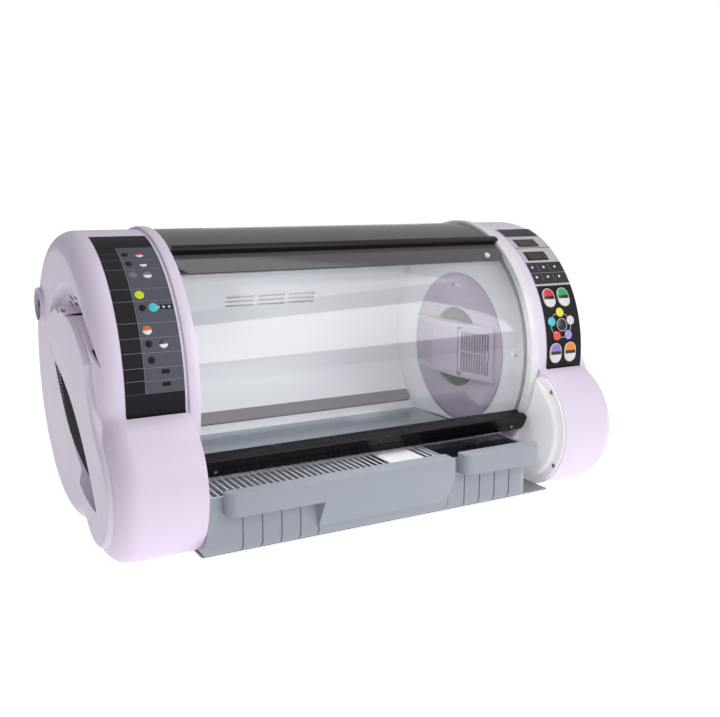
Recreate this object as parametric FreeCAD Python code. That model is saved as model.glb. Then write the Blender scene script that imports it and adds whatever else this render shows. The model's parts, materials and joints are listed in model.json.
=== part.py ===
import FreeCAD, Part
import math
import os

Vector = FreeCAD.Vector

# Veterinary incubator: a lying barrel between two snail-shaped housings.
# X runs along the barrel, -Y is the front, +Z is up, millimetres.
# The origin is on the ground, under the middle of the overall box.
# Angles are about the barrel axis: 0 is the rear, 90 the top, 180 the front.

# Overall form
overall_length = 900.0
barrel_radius = 229.0
barrel_axis_height = 237.0
lobe_radius = 109.0
lobe_reach = 200.0
foot_height = 3.0
grip_reach = 315.0
end_fillet = 32.0
end_step = 8.0
pod_inset = 26.0
pod_edge_radius = 7.0
handle_depth = 28.0
crescent_depth = 14.0
housing_wall = 4.0
upper_blend = 5.0
notch_blend = 12.0

# Chamber
left_flank = 317.0
right_flank = 324.0
ring_width = 20.0
ring_outer_radius = 234.0
skin_radius = 229.0
skin_thickness = 3.0
door_outer_radius = 222.0
door_thickness = 3.0
liner_outer_radius = 217.0
liner_thickness = 2.5
ring_groove_depth = 5.0
ring_groove_clearance = 0.7
seat_gap = 0.3
ring_low_angle = 216.0
ring_rear_angle = -60.0

# Skins and rails round the barrel
cover_front_angle = 132.4
cover_rear_angle = 60.0
cover_chamfer_length = 16.0
cover_chamfer_angle = 3.4
shell_low_angle = -60.0
liner_front_angle = 130.0
liner_low_angle = -50.5
sill_low_angle = 230.5
sill_top_angle = 208.0
door_top_angle = 122.0
door_low_angle = 211.5
rail_inner_radius = 235.5
rail_thickness = 11.5
rail_overlap = 6.0
rail_end_radius = 8.0
rail_groove_depth = 1.0
top_rail_top_angle = 118.5
top_rail_low_angle = 125.8
door_rail_top_angle = 204.5
door_rail_low_angle = 212.2
rail_web_margin = 1.0
rail_pin_radius = 2.6
rail_pin_inset = 30.0
rear_rail_top_angle = -37.2
rear_rail_low_angle = -44.0
rear_rail_thickness = 6.0

# Louvres in the rear wall
louvre_rows = 3
louvre_columns = 3
louvre_length = 58.0
louvre_column_pitch = 66.0
louvre_width = 3.6
louvre_row_angle = 2.5
louvre_low_angle = 19.0
louvre_middle_x = 3.0

# Floor and base
floor_top = 75.0
floor_thickness = 3.0
pan_front_reach = 268.0
belly_rear_angle = -60.0
belly_front_angle = -92.0
runner_width = 8.0
divider_thickness = 3.0

# Drawers
drawer_bottom = 13.5
drawer_rim = 102.0
drawer_front = 290.0
drawer_wall = 3.0
drawer_split = 94.0
drawer_gap = 0.5
drawer_flank_gap = 1.0
tank_right = 264.0
trough_back = 197.0
drawer_tail_top = 66.0
runner_gap = 0.3
drawer_tail_back = 15.0
corner_radius = 28.0
bottom_radius = 16.0
grip_low = 77.0
grip_top = 111.0
grip_wall = 4.0
waste_grip_left = -290.0
panel_left = -141.0
tank_grip_left = 112.0
groove_pitch = 30.5
groove_width = 2.4
groove_depth = 2.0
rack_top = 104.0
wire_radius = 1.1
wire_pitch = 10.5
frame_rod_radius = 1.8
rack_tab_left = 0.0
rack_tab_right = 60.0

# End walls and circulation unit
wall_thickness = 3.0
dish_depth = 10.0
dish_clearance = 2.0
unit_forward = -3.0
unit_drop = 12.0
unit_radius = 145.0
unit_thickness = 5.0
hub_projection = 30.0
hub_half_height = 52.0
channel_half_width = 36.0
hub_reach = 128.0
hub_slant = 19.0
hub_wall = 3.0
grille_margin = 5.0
grille_thickness = 4.0
grille_set = 0.4
grille_slots = 11
grille_slot_width = 4.2
grille_slot_pitch = 6.6
grille_mid_bar = 2.4
grille_slot_margin = 8.0
hinge_pin_radius = 1.5
hinge_clearance = 0.05
hinge_barrel_radius = 3.2
fan_radius = 78.0
fan_hub_radius = 16.0
fan_width = 22.0
fan_blades = 11
fan_gap = 4.0
fan_tip_gap = 2.0
fan_back_gap = 8.0
shaft_radius = 4.0
shaft_clearance = 0.05
motor_radius = 30.0
motor_length = 42.0
motor_plate_thickness = 3.0
bracket_arm_width = 14.0
bracket_foot_radius = 6.0

# Operating panel on the right housing
panel_recess = 6.0
panel_edge_gap = 0.2
panel_proud = 0.8
control_left = 342.0
control_right = 423.0
control_top_angle = 108.0
control_low_angle = 187.0
label_left = -406.0
label_right = -320.0
label_top_angle = 104.9
label_low_angle = 186.5
label_depth = 2.0
display_left = 352.0
display_right = 401.0
display_angles = ((119.0, 124.9), (128.4, 134.0))
indicator_top_angle = 135.2
indicator_low_angle = 146.8
keypad_top_angle = 147.8
keypad_low_angle = 186.6
keypad_margin = 1.0
key_travel = 1.0
key_gap = 0.3
key_proud = 2.2
key_floor = 1.0
oval_width = 25.0
oval_height = 34.0
round_key_radius = 7.0
dial_key_radius = 11.0
ring_key_radius = 22.5
dial_x = 378.0
dial_angle = 166.3
oval_columns = (361.5, 394.5)
upper_oval_angle = 153.8
lower_oval_angle = 178.5

# Feet, cheek and rear fittings
foot_radius = 15.0
foot_x = 385.0
front_foot_reach = 200.0
rear_foot_set = 45.0
cheek_radius = 90.0
cheek_flange_radius = 107.0
cheek_flange = 4.0
cheek_left = 268.0
cheek_edge_radius = 14.0
cheek_door_gap = 2.0
cheek_screw_radius = 101.8
cheek_screw_angles = (135.0, 180.0 + 33.4)
port_radius = 26.0
wall_knob_reach = 187.0
port_depth = 10.0
inlet_x = 385.0
inlet_angle = -14.0
inlet_width = 84.0
inlet_height = 34.0
inlet_depth = 10.0
inlet_plate = 3.0
switch_width = 20.0
switch_height = 13.0
switch_gap = 0.4
switch_pin_radius = 1.5
board_x = 360.0
board_width = 96.0
board_height = 120.0
board_thickness = 2.0

axis_y = (grip_reach - ring_outer_radius) / 2
axis_z = barrel_axis_height
half_length = overall_length / 2
barrel_axis = Vector(0, axis_y, axis_z)
lobe_axis = Vector(0, axis_y - lobe_reach, lobe_radius + foot_height)
left_wall_x = -left_flank + ring_width
right_wall_x = right_flank - ring_width
dish_radius = unit_radius + math.hypot(unit_forward, unit_drop) + dish_clearance
along_x = Vector(1, 0, 0)


def save(name, shape):
    """Write one sub-part."""
    shape.exportStep("parts/" + name + ".step")


def turned_point(centre, angle, radius, x=0.0):
    """Point on a circle about an axis along X."""
    a = math.radians(angle)
    return Vector(x, centre.y + radius * math.cos(a), centre.z + radius * math.sin(a))


def at(angle, radius, x=0.0):
    """Point on a circle about the barrel axis."""
    return turned_point(barrel_axis, angle, radius, x)


def outline(points):
    """Closed wire. A bare point ends a line, a pair is an arc's middle and end."""
    edges = []
    here = points[0]
    for step in points[1:] + [points[0]]:
        if isinstance(step, tuple):
            edges.append(Part.Arc(here, step[0], step[1]).toShape())
            here = step[1]
        elif here.distanceToPoint(step) > 1e-6:
            edges.append(Part.LineSegment(here, step).toShape())
            here = step
    return Part.Wire(edges)


def prism(points, travel):
    """Solid pushed from a closed outline."""
    return Part.Face(outline(points)).extrude(travel)


def sector(inner, outer, start, end, left, right):
    """Curved slab about the barrel axis."""
    middle = (start + end) / 2
    points = [
        at(start, outer, left),
        (at(middle, outer, left), at(end, outer, left)),
        at(end, inner, left),
        (at(middle, inner, left), at(start, inner, left)),
    ]
    return prism(points, Vector(right - left, 0, 0))


def block(x0, x1, y0, y1, z0, z1):
    """Box between two corners."""
    return Part.makeBox(x1 - x0, y1 - y0, z1 - z0, Vector(x0, y0, z0))


def rod(start, end, radius):
    """Round bar between two points."""
    axis = end.sub(start)
    return Part.makeCylinder(radius, axis.Length, start, axis)


def turned(points, centre, start=90.0, sweep=360.0):
    """Ring or disc turned about an axis along X from points given as X and radius."""
    corners = [Vector(x, centre.y, centre.z + r) for x, r in points]
    face = Part.Face(Part.makePolygon(corners + corners[:1]))
    face.rotate(centre, along_x, start - 90)
    return face.revolve(centre, along_x, sweep)


def filleted(shape, radius, wanted):
    """Round the edges that a test picks by their bounding box."""
    edges = [edge for edge in shape.Edges if wanted(edge.BoundBox)]
    return shape.makeFillet(radius, edges)


def fused(pieces):
    """One clean solid from several that meet."""
    return pieces[0].multiFuse(pieces[1:]).removeSplitter()


def mirrored(shape):
    """The same shape on the other side of X = 0."""
    return shape.mirror(Vector(0, 0, 0), along_x)


# Snail outline of the housings


def blend_centre(blend, side):
    """Centre of an arc that blends barrel and lobe: side 1 above, -1 below."""
    gap_y = lobe_axis.y - barrel_axis.y
    gap_z = lobe_axis.z - barrel_axis.z
    span = math.hypot(gap_y, gap_z)
    from_barrel = barrel_radius + blend
    from_lobe = lobe_radius + blend
    along = (span ** 2 + from_barrel ** 2 - from_lobe ** 2) / (2 * span)
    off = math.sqrt(from_barrel ** 2 - along ** 2) * side
    unit_y = gap_y / span
    unit_z = gap_z / span
    y = barrel_axis.y + unit_y * along + unit_z * off
    z = barrel_axis.z + unit_z * along - unit_y * off
    return Vector(0, y, z)


def toward(centre, other, radius, x):
    """Point at a radius from one centre in the direction of another."""
    angle = math.degrees(math.atan2(other.z - centre.z, other.y - centre.y))
    return turned_point(centre, angle, radius, x)


def snail(inset, start, end, rounding):
    """Barrel and lobe in one outline, its far end rounded."""
    upper = blend_centre(upper_blend, 1)
    lower = blend_centre(notch_blend, -1)
    barrel = barrel_radius - inset
    lobe = lobe_radius - inset
    waist = (barrel_axis + lobe_axis) * 0.5
    rear_angle = 30.0
    lobe_front = 190.0
    points = [
        toward(barrel_axis, lower, barrel, start),
        (at(rear_angle, barrel, start), toward(barrel_axis, upper, barrel, start)),
        (toward(upper, waist, upper_blend + inset, start), toward(lobe_axis, upper, lobe, start)),
        (turned_point(lobe_axis, lobe_front, lobe, start), toward(lobe_axis, lower, lobe, start)),
        (toward(lower, waist, notch_blend + inset, start), toward(barrel_axis, lower, barrel, start)),
    ]
    body = prism(points, Vector(end - start, 0, 0))
    if rounding > 0:
        body = filleted(body, rounding, lambda box: box.XMin > end - 0.01)
    return body


def face_point(x, forward, up):
    """Point on a housing's end, measured forward and up from the barrel axis."""
    return Vector(x, axis_y - forward, axis_z + up)


def pod(start, end):
    """Raised pod that runs from the lobe back over the barrel's end."""
    radius = lobe_radius - pod_inset
    low_rear = turned_point(lobe_axis, -48, radius, start)
    points = [
        face_point(start, -84, 76),
        (face_point(start, 58, 117), face_point(start, 190, 52)),
        (face_point(start, 211, -16), turned_point(lobe_axis, 127, radius, start)),
        (turned_point(lobe_axis, 180, radius, start), turned_point(lobe_axis, 250, radius, start)),
        (turned_point(lobe_axis, 280, radius, start), low_rear),
        (face_point(start, 48, -60), face_point(start, -84, 76)),
    ]
    body = prism(points, Vector(end - start, 0, 0))
    return filleted(body, pod_edge_radius, lambda box: box.XMin > end - 0.01)


def hollow_wedge(ends, far_middle, near_middle, deep_middle, depth, grow):
    """Lens cut into a housing's end: upright along one side, a ramp along the other."""
    outside = half_length + 6
    inside = half_length - end_step - depth - grow
    wires = []
    for x, middle in ((outside, far_middle), (inside, deep_middle)):
        first = face_point(x, ends[0][0], ends[0][1])
        last = face_point(x, ends[1][0], ends[1][1])
        wires.append(Part.Wire([
            Part.Arc(first, face_point(x, near_middle[0], near_middle[1]), last).toShape(),
            Part.Arc(last, face_point(x, middle[0], middle[1]), first).toShape(),
        ]))
    return Part.makeLoft(wires, True, True)


def handle_slot(grow):
    """Finger slot for carrying, deepest under the pod's edge."""
    ends = ((-46 - grow, 32 + grow), (216 + grow, -154 - grow))
    near = (106 + grow * 0.6, -32 + grow * 0.8)
    far = (50 - grow * 0.6, -112 - grow * 0.8)
    deep = (78 - grow * 0.6, -76 - grow * 0.8)
    return hollow_wedge(ends, far, near, deep, handle_depth, grow)


def crescent(grow):
    """Air intake recess between the barrel's end and the pod."""
    ends = ((-90 - grow, 78), (215 + grow, 48))
    near = (60 - grow * 0.2, 117 - grow)
    far = (60, 168 + grow)
    deep = (60, 141 + grow)
    return hollow_wedge(ends, far, near, deep, crescent_depth, grow)


def intake_slots():
    """Three rows of three louvre slots through the floor of the crescent."""
    slots = []
    for row in range(3):
        for column in range(3):
            y = axis_y - 24 - 34 * column
            z = axis_z + 113 + 9 * row - 2.5 * abs(column - 1)
            tilt = 12 * (column - 1)
            slot = block(half_length - 40, half_length + 5, y - 13, y + 13, z - 2, z + 2)
            slot.rotate(Vector(0, y, z), along_x, -tilt)
            slots.append(slot)
    return slots


def housing(flank):
    """Moulded end housing, open towards the chamber, for the +X side."""
    end = half_length - end_step
    outer = snail(0, flank, end, end_fillet)
    outer = outer.fuse(pod(end - end_fillet / 2, half_length))
    cavity = snail(housing_wall, flank - 1, end - housing_wall, end_fillet - housing_wall)
    cavity = cavity.cut(handle_slot(housing_wall)).cut(crescent(housing_wall))
    shell = outer.cut(handle_slot(0)).cut(crescent(0)).cut(cavity)
    for slot in intake_slots():
        shell = shell.cut(slot)
    return shell


def panel_seat(left, right, top, low, depth):
    """Recess for a curved panel, and the wall that carries the panel."""
    floor_radius = barrel_radius - depth
    recess = sector(floor_radius, barrel_radius + 5, top, low, left, right)
    wall = sector(floor_radius - housing_wall, floor_radius, top - 1, low + 1, left - 2, right + 2)
    return recess, wall


def left_housing():
    shell = mirrored(housing(left_flank))
    recess, wall = panel_seat(label_left, label_right, label_top_angle, label_low_angle, label_depth)
    side_room = block(-left_flank - wall_thickness - seat_gap, 0, -half_length, half_length, 0, 2 * axis_z)
    shell = shell.fuse(wall.cut(side_room)).cut(recess)
    port = rod(port_place(-half_length), port_place(-half_length + end_step + port_depth), port_radius)
    seat = rod(port_place(-half_length + 2), port_place(-half_length + end_step + port_depth + 3),
               port_radius + 3)
    return shell.fuse(seat).cut(port)


def port_place(x):
    """Middle of the round port near the rear edge of the left end."""
    return Vector(x, axis_y + 150, axis_z + 100)


def right_housing():
    shell = housing(right_flank)
    recess, wall = panel_seat(control_left, control_right, control_top_angle, control_low_angle,
                              panel_recess)
    shell = shell.fuse(wall).cut(recess)
    wall = inlet_block(housing_wall, housing_wall)
    rear = rod(Vector(right_flank, axis_y, axis_z), Vector(half_length, axis_y, axis_z), barrel_radius - 1)
    shell = shell.fuse(wall.common(rear))
    return shell.cut(inlet_block(0, 0))


def inlet_block(grow, deeper):
    """Room of the rear recess for inlet and switch."""
    middle = at(inlet_angle, barrel_radius, inlet_x)
    return block(inlet_x - inlet_width / 2 - grow, inlet_x + inlet_width / 2 + grow,
                 middle.y - inlet_depth - deeper, axis_y + barrel_radius + 5,
                 middle.z - inlet_height / 2 - grow, middle.z + inlet_height / 2 + grow)


def side_panel(flank):
    """Plate that closes a housing towards the chamber, for the +X side."""
    plate = snail(housing_wall + panel_edge_gap, flank, flank + wall_thickness, 0)
    return plate


def right_side_panel():
    hole = rod(unit_place(right_flank - 1), unit_place(right_flank + wall_thickness + 1),
               fan_radius + fan_tip_gap + wall_thickness)
    return side_panel(right_flank).cut(hole)


def left_side_panel():
    return mirrored(side_panel(left_flank))


# Rings, skins and rails


def ring(inner_x, outer_x, direction):
    """Moulded bead between barrel and housing, grooved for the door's edge."""
    groove_out = door_outer_radius + ring_groove_clearance
    groove_in = door_outer_radius - door_thickness - ring_groove_clearance
    inner = liner_outer_radius + seat_gap
    step = ring_groove_depth * direction
    bead = (ring_outer_radius - skin_radius) * direction
    points = [
        (inner_x, inner),
        (inner_x, groove_in),
        (inner_x + step, groove_in),
        (inner_x + step, groove_out),
        (inner_x, groove_out),
        (inner_x, skin_radius),
        (inner_x + bead * 0.4, ring_outer_radius - 1),
        (inner_x + bead * 1.2, ring_outer_radius),
        (outer_x - bead * 1.2, ring_outer_radius),
        (outer_x - bead * 0.4, ring_outer_radius - 1),
        (outer_x, skin_radius),
        (outer_x, inner),
    ]
    sweep = ring_low_angle - ring_rear_angle
    return turned(points, barrel_axis, ring_rear_angle, sweep)


def left_ring():
    return ring(left_wall_x, -left_flank, -1)


def right_ring():
    return ring(right_wall_x, right_flank, 1)


def top_cover():
    """Smoked curved cover with its two lower corners cut off."""
    cover = sector(skin_radius - skin_thickness, skin_radius, cover_rear_angle, cover_front_angle,
                   left_wall_x, right_wall_x)
    for x, inwards in ((left_wall_x, 1), (right_wall_x, -1)):
        low = cover_front_angle + 0.4
        inner = skin_radius - skin_thickness - 2
        corner = [
            at(cover_front_angle - cover_chamfer_angle, inner, x - inwards),
            at(low, inner, x - inwards),
            at(low, inner, x + inwards * cover_chamfer_length),
        ]
        cut = prism(corner, at(low, 10).sub(at(low, 0)))
        cover = cover.cut(cut)
    return cover


def rear_shell():
    shell = sector(skin_radius - skin_thickness, skin_radius, shell_low_angle, cover_rear_angle,
                   left_wall_x, right_wall_x)
    return with_louvres(shell)


def rear_liner():
    inner = liner_outer_radius - liner_thickness
    liner = sector(inner, liner_outer_radius, liner_low_angle, liner_front_angle,
                   left_wall_x, right_wall_x)
    return with_louvres(liner)


def with_louvres(skin):
    """Cut the rows of vent slots in a rear skin."""
    for row in range(louvre_rows):
        angle = louvre_low_angle + row * louvre_row_angle
        for column in range(louvre_columns):
            shift = (column - (louvre_columns - 1) / 2) * louvre_column_pitch
            x = louvre_middle_x + shift
            half = louvre_length / 2
            half_angle = math.degrees(louvre_width / 2 / liner_outer_radius)
            slot = sector(liner_outer_radius - 10, skin_radius + 10, angle - half_angle,
                          angle + half_angle, x - half, x + half)
            skin = skin.cut(slot)
    return skin


def rail(top, low, web_inner):
    """Proud black rail: a slab over the rings and a web down to what it sits on."""
    left = left_wall_x - rail_overlap
    right = right_wall_x + rail_overlap
    outer = rail_inner_radius + rail_thickness
    slab = sector(rail_inner_radius, outer, top, low, left, right)
    slab = filleted(slab, rail_end_radius, lambda box: box.XLength < 0.01 and radial(box))
    slab = filleted(slab, 2.5, lambda box: box.XLength > overall_length / 2)
    web = sector(web_inner, rail_inner_radius, top + rail_web_margin, low - rail_web_margin,
                 left_wall_x + 2, right_wall_x - 2)
    middle = (top + low) / 2
    groove = sector(outer - rail_groove_depth, outer + 1, middle - 0.3, middle + 0.3,
                    left + rail_pin_inset + 8, right - rail_pin_inset - 8)
    return fused([slab, web]).cut(groove)


def radial(box):
    """True for a short edge that points away from the barrel axis."""
    length = math.hypot(box.YLength, box.ZLength)
    return abs(length - rail_thickness) < 0.5


def top_rail():
    return rail(top_rail_top_angle, top_rail_low_angle, skin_radius)


def door_rail():
    return rail(door_rail_top_angle, door_rail_low_angle, door_outer_radius)


def door_rail_pins():
    """Two screw heads near the ends of the door rail."""
    pins = []
    angle = (door_rail_top_angle + door_rail_low_angle) / 2 + 1.2
    outer = rail_inner_radius + rail_thickness
    for x in (left_wall_x - rail_overlap + rail_pin_inset, right_wall_x + rail_overlap - rail_pin_inset):
        pin = rod(at(angle, outer, x), at(angle, outer + 1.2, x), rail_pin_radius)
        pins.append(pin)
    return Part.makeCompound(pins)


def door_sheet():
    """Clear curved door that slides round in the ring grooves."""
    reach = ring_groove_depth - ring_groove_clearance
    return sector(door_outer_radius - door_thickness, door_outer_radius, door_top_angle,
                  door_low_angle, left_wall_x - reach, right_wall_x + reach)


def front_sill():
    """Curved wall from the floor up to behind the door's lower edge."""
    inner = liner_outer_radius - liner_thickness
    return sector(inner, liner_outer_radius, sill_top_angle, sill_low_angle, left_wall_x, right_wall_x)


def rear_rail():
    outer = liner_outer_radius - liner_thickness
    bar = sector(outer - rear_rail_thickness, outer, rear_rail_low_angle, rear_rail_top_angle,
                 left_wall_x + 4, right_wall_x - 4)
    return filleted(bar, 5.0, lambda box: box.XLength < 0.01 and box.ZLength < 8 and box.DiagonalLength < 7)


def chamber_floor():
    """Flat floor across the barrel, its edges on the liner and the sill."""
    room = rod(Vector(left_wall_x, axis_y, axis_z), Vector(right_wall_x, axis_y, axis_z),
               liner_outer_radius - liner_thickness)
    plate = block(left_wall_x, right_wall_x, axis_y - barrel_radius, axis_y + barrel_radius,
                  floor_top - floor_thickness, floor_top)
    return plate.common(room)


def base_frame():
    """Belly of the barrel and the flat pan in front of it, with drawer runners."""
    left = -left_flank
    right = right_flank
    belly = sector(skin_radius - skin_thickness, skin_radius, belly_front_angle, belly_rear_angle, left, right)
    pan_bottom = axis_z - skin_radius
    pan_top = pan_bottom + skin_thickness
    front = axis_y - pan_front_reach
    pan_right = right_flank - cheek_flange - seat_gap
    pieces = [belly, block(left, pan_right, front, axis_y, pan_bottom, pan_top)]
    for x in runner_places():
        pieces.append(block(x - runner_width / 2, x + runner_width / 2, front, axis_y, pan_top - 1,
                            drawer_bottom - runner_gap))
    side = divider_thickness / 2
    divider_front = at(sill_low_angle, liner_outer_radius - liner_thickness).y + seat_gap
    pieces.append(block(drawer_split - side, drawer_split + side, divider_front, axis_y + drawer_tail_back,
                        pan_top - 1, floor_top - floor_thickness))
    stop = axis_y + drawer_tail_back + drawer_gap
    pieces.append(block(left, right, stop, stop + divider_thickness, pan_top - 1,
                        floor_top - floor_thickness))
    return fused(pieces)


def runner_places():
    """X of the four strips that the drawers slide on."""
    return (-left_flank + 40, drawer_split - 40, drawer_split + 30, tank_right - 30)


# Drawers


def drawer_profile(x, inset):
    """Side outline of a drawer: deep trough in front, low tail under the floor."""
    front = axis_y - drawer_front + inset
    bottom = drawer_bottom + inset
    top = drawer_rim + (5 if inset else 0)
    trough = axis_y - trough_back - inset
    tail_top = drawer_tail_top
    tail = axis_y + drawer_tail_back - inset
    round_low = bottom_radius - inset
    low = Vector(x, front + round_low, bottom)
    corner = math.sqrt(0.5) * round_low
    middle = Vector(x, front + round_low - corner, bottom + round_low - corner)
    side = Vector(x, front, bottom + round_low)
    return [
        side,
        Vector(x, front, top),
        Vector(x, trough, top),
        Vector(x, trough, tail_top),
        Vector(x, tail, tail_top),
        Vector(x, tail, bottom),
        low,
        (middle, side),
    ]


def drawer_tub(left, right, tail_left, tail_right, round_left, round_right):
    """Hollow tub, its outer front corner rounded on the free side."""
    outer = prism(drawer_profile(left, 0), Vector(right - left, 0, 0))
    keep_front = block(left, right, axis_y - drawer_front - 1, axis_y - trough_back + 0.01,
                       0, drawer_rim + 10)
    keep_tail = block(tail_left, tail_right, axis_y - trough_back, axis_y + drawer_tail_back,
                      0, drawer_rim + 10)
    outer = outer.common(keep_front.fuse(keep_tail).removeSplitter())
    rounded = corner_block(left, right, round_left, round_right, 0)
    outer = outer.common(rounded)
    trough = block(left + drawer_wall, right - drawer_wall, axis_y - drawer_front + drawer_wall,
                   axis_y - trough_back - drawer_wall, drawer_bottom + drawer_wall, drawer_rim + 5)
    trough = trough.common(prism(drawer_profile(left, drawer_wall), Vector(right - left, 0, 0)))
    trough = trough.common(corner_block(left, right, round_left, round_right, drawer_wall))
    tail = block(tail_left + drawer_wall, tail_right - drawer_wall, axis_y - trough_back - 20,
                 axis_y + drawer_tail_back - drawer_wall, drawer_bottom + drawer_wall,
                 drawer_tail_top + 5)
    tail = tail.cut(block(left, right, axis_y - trough_back - drawer_wall, axis_y - trough_back,
                          drawer_tail_top - drawer_wall, drawer_rim))
    return outer.cut(trough).cut(tail)


def corner_block(left, right, round_left, round_right, inset):
    """Plan outline of a drawer with its rounded front corners."""
    front = axis_y - drawer_front + inset
    back = axis_y + drawer_tail_back
    left = left + inset
    right = right - inset
    points = [Vector(left, back, 0)]
    if round_left:
        r = corner_radius - inset
        d = r * (1 - math.sqrt(0.5))
        points += [Vector(left, front + r, 0), (Vector(left + d, front + d, 0), Vector(left + r, front, 0))]
    else:
        points += [Vector(left, front, 0)]
    if round_right:
        r = corner_radius - inset
        d = r * (1 - math.sqrt(0.5))
        points += [Vector(right - r, front, 0),
                   (Vector(right - d, front + d, 0), Vector(right, front + r, 0))]
    else:
        points += [Vector(right, front, 0)]
    points += [Vector(right, back, 0)]
    return prism(points, Vector(0, 0, drawer_rim + 20))


def grooves(left_most, count):
    """Upright grooves in a drawer front that turn under its lower edge."""
    cuts = []
    for number in range(count):
        x = left_most + number * groove_pitch
        outer = prism(drawer_profile(x, 0), Vector(groove_width, 0, 0))
        inner = outer.copy()
        inner.translate(Vector(0, groove_depth, groove_depth))
        strip = block(x, x + groove_width, axis_y - drawer_front - 1, axis_y - drawer_front + 40,
                      0, grip_low)
        cuts.append(outer.cut(inner).common(strip))
    return cuts


def grip(left, right, round_right):
    """Proud hollow grip: front wall and roof, open below for the fingers."""
    front = axis_y - grip_reach
    back = axis_y - drawer_front
    body = block(left, right, front, back + 0.01, grip_low, grip_top)
    body = filleted(body, 14.0, lambda box: box.ZLength > 20 and box.YMax < front + 0.1
                    and (box.XMax < left + 0.1 or (round_right and box.XMin > right - 0.1)))
    body = filleted(body, 3.0, lambda box: box.ZMin > grip_top - 0.1 and box.YMax < back)
    hollow = block(left + grip_wall, right - (grip_wall if round_right else 0), front + grip_wall,
                   back + 0.02, grip_low - 1, grip_top - grip_wall)
    return body.cut(hollow)


def drawer_panel():
    """Smooth middle panel that leans out to the level of the grips."""
    back = axis_y - drawer_front
    foot = back - 1.5
    front = axis_y - grip_reach
    low = drawer_bottom + bottom_radius
    right = drawer_split - drawer_gap
    points = [
        Vector(panel_left, back + 2, low),
        Vector(panel_left, foot, low + 2),
        Vector(panel_left, front, grip_low),
        Vector(panel_left, front, grip_top - 3),
        (Vector(panel_left, front + 0.9, grip_top - 0.9), Vector(panel_left, front + 3, grip_top)),
        Vector(panel_left, back + 2, grip_top),
    ]
    panel = prism(points, Vector(right - panel_left, 0, 0))
    return filleted(panel, 8.0, lambda box: box.XMin > right - 0.1 and box.YMax < back - 0.1
                    and box.ZLength > 20)


def waste_drawer():
    left = -left_flank + drawer_flank_gap
    right = drawer_split - drawer_gap
    tail_right = drawer_split - divider_thickness / 2 - drawer_gap
    tub = drawer_tub(left, right, left + 12, tail_right, False, False)
    for groove in grooves(waste_grooves_left(), 5):
        tub = tub.cut(groove)
    return fused([tub, grip(waste_grip_left, panel_left + 0.01, False), drawer_panel()])


def waste_grooves_left():
    """X of the groove that lies furthest from the middle panel."""
    return panel_left - 4 * groove_pitch


def tank_drawer():
    left = drawer_split + drawer_gap
    tail_left = drawer_split + divider_thickness / 2 + drawer_gap
    tub = drawer_tub(left, tank_right, tail_left, tank_right, False, True)
    for groove in grooves(drawer_split + groove_pitch, 4):
        tub = tub.cut(groove)
    return fused([tub, grip(tank_grip_left, tank_right, True)])


def tank_lid():
    """Black lid that lies in the water tank's mouth."""
    left = drawer_split + drawer_gap + drawer_wall
    right = tank_right - drawer_wall
    front = axis_y - drawer_front + drawer_wall
    back = axis_y - trough_back - drawer_wall
    plate = block(left + seat_gap, right - seat_gap, front + seat_gap, back - seat_gap,
                  drawer_rim - 6, drawer_rim - 2)
    plate = plate.common(corner_block(left - drawer_wall, right + drawer_wall, False, True,
                                      drawer_wall + seat_gap))
    knob = rod(Vector((left + right) / 2, (front + back) / 2, drawer_rim - 2),
               Vector((left + right) / 2, (front + back) / 2, drawer_rim), 14.0)
    return fused([plate, knob])


def wire_rack():
    """White wire rack over the waste drawer, with a frame rod and a lift tab."""
    left = -left_flank + drawer_flank_gap + drawer_wall + 1
    right = drawer_split - drawer_gap - drawer_wall - 1
    front = axis_y - drawer_front + drawer_wall + frame_rod_radius + seat_gap
    back = axis_y - trough_back - drawer_wall - frame_rod_radius - seat_gap
    height = rack_top - wire_radius
    low = height - wire_radius - frame_rod_radius + 0.4
    pieces = [
        rod(Vector(left, front, low), Vector(right, front, low), frame_rod_radius),
        rod(Vector(left, back, low), Vector(right, back, low), frame_rod_radius),
    ]
    count = int((right - left) / wire_pitch)
    first = (left + right - (count - 1) * wire_pitch) / 2
    for number in range(count):
        x = first + number * wire_pitch
        if rack_tab_left < x < rack_tab_right:
            continue
        pieces.append(rod(Vector(x, front - 1, height), Vector(x, back + 1, height), wire_radius))
    pieces.append(block(rack_tab_left, rack_tab_right, front - 1, back + 1, height - 1.2, height + 1.2))
    return fused(pieces)


# End walls and circulation unit


def unit_place(x, forward=0.0, up=0.0):
    """Point in the circulation unit's own frame."""
    return Vector(x, axis_y - unit_forward - forward, axis_z - unit_drop + up)


def end_wall(inner_x, direction, hole_radius, hole_centre):
    """Dished wall at one end of the chamber."""
    rim = liner_outer_radius - liner_thickness - seat_gap
    deep = inner_x + dish_depth * direction
    thick = wall_thickness * direction
    points = [
        (inner_x, rim),
        (inner_x + thick, rim),
        (deep + thick, dish_radius + 8),
        (deep + thick, 0),
        (deep, 0),
        (deep, dish_radius),
        (inner_x, rim - 12),
    ]
    wall = turned(points, barrel_axis)
    wall = wall.cut(block(-half_length, half_length, -half_length, half_length, -10, floor_top))
    if hole_radius:
        wall = wall.cut(Part.makeCylinder(hole_radius, 60, Vector(deep - 30, hole_centre.y, hole_centre.z),
                                          along_x))
    return wall


def left_end_wall():
    return end_wall(left_wall_x, -1, 0, barrel_axis)


def right_end_wall():
    return end_wall(right_wall_x, 1, fan_radius + fan_tip_gap, unit_place(0))


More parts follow.
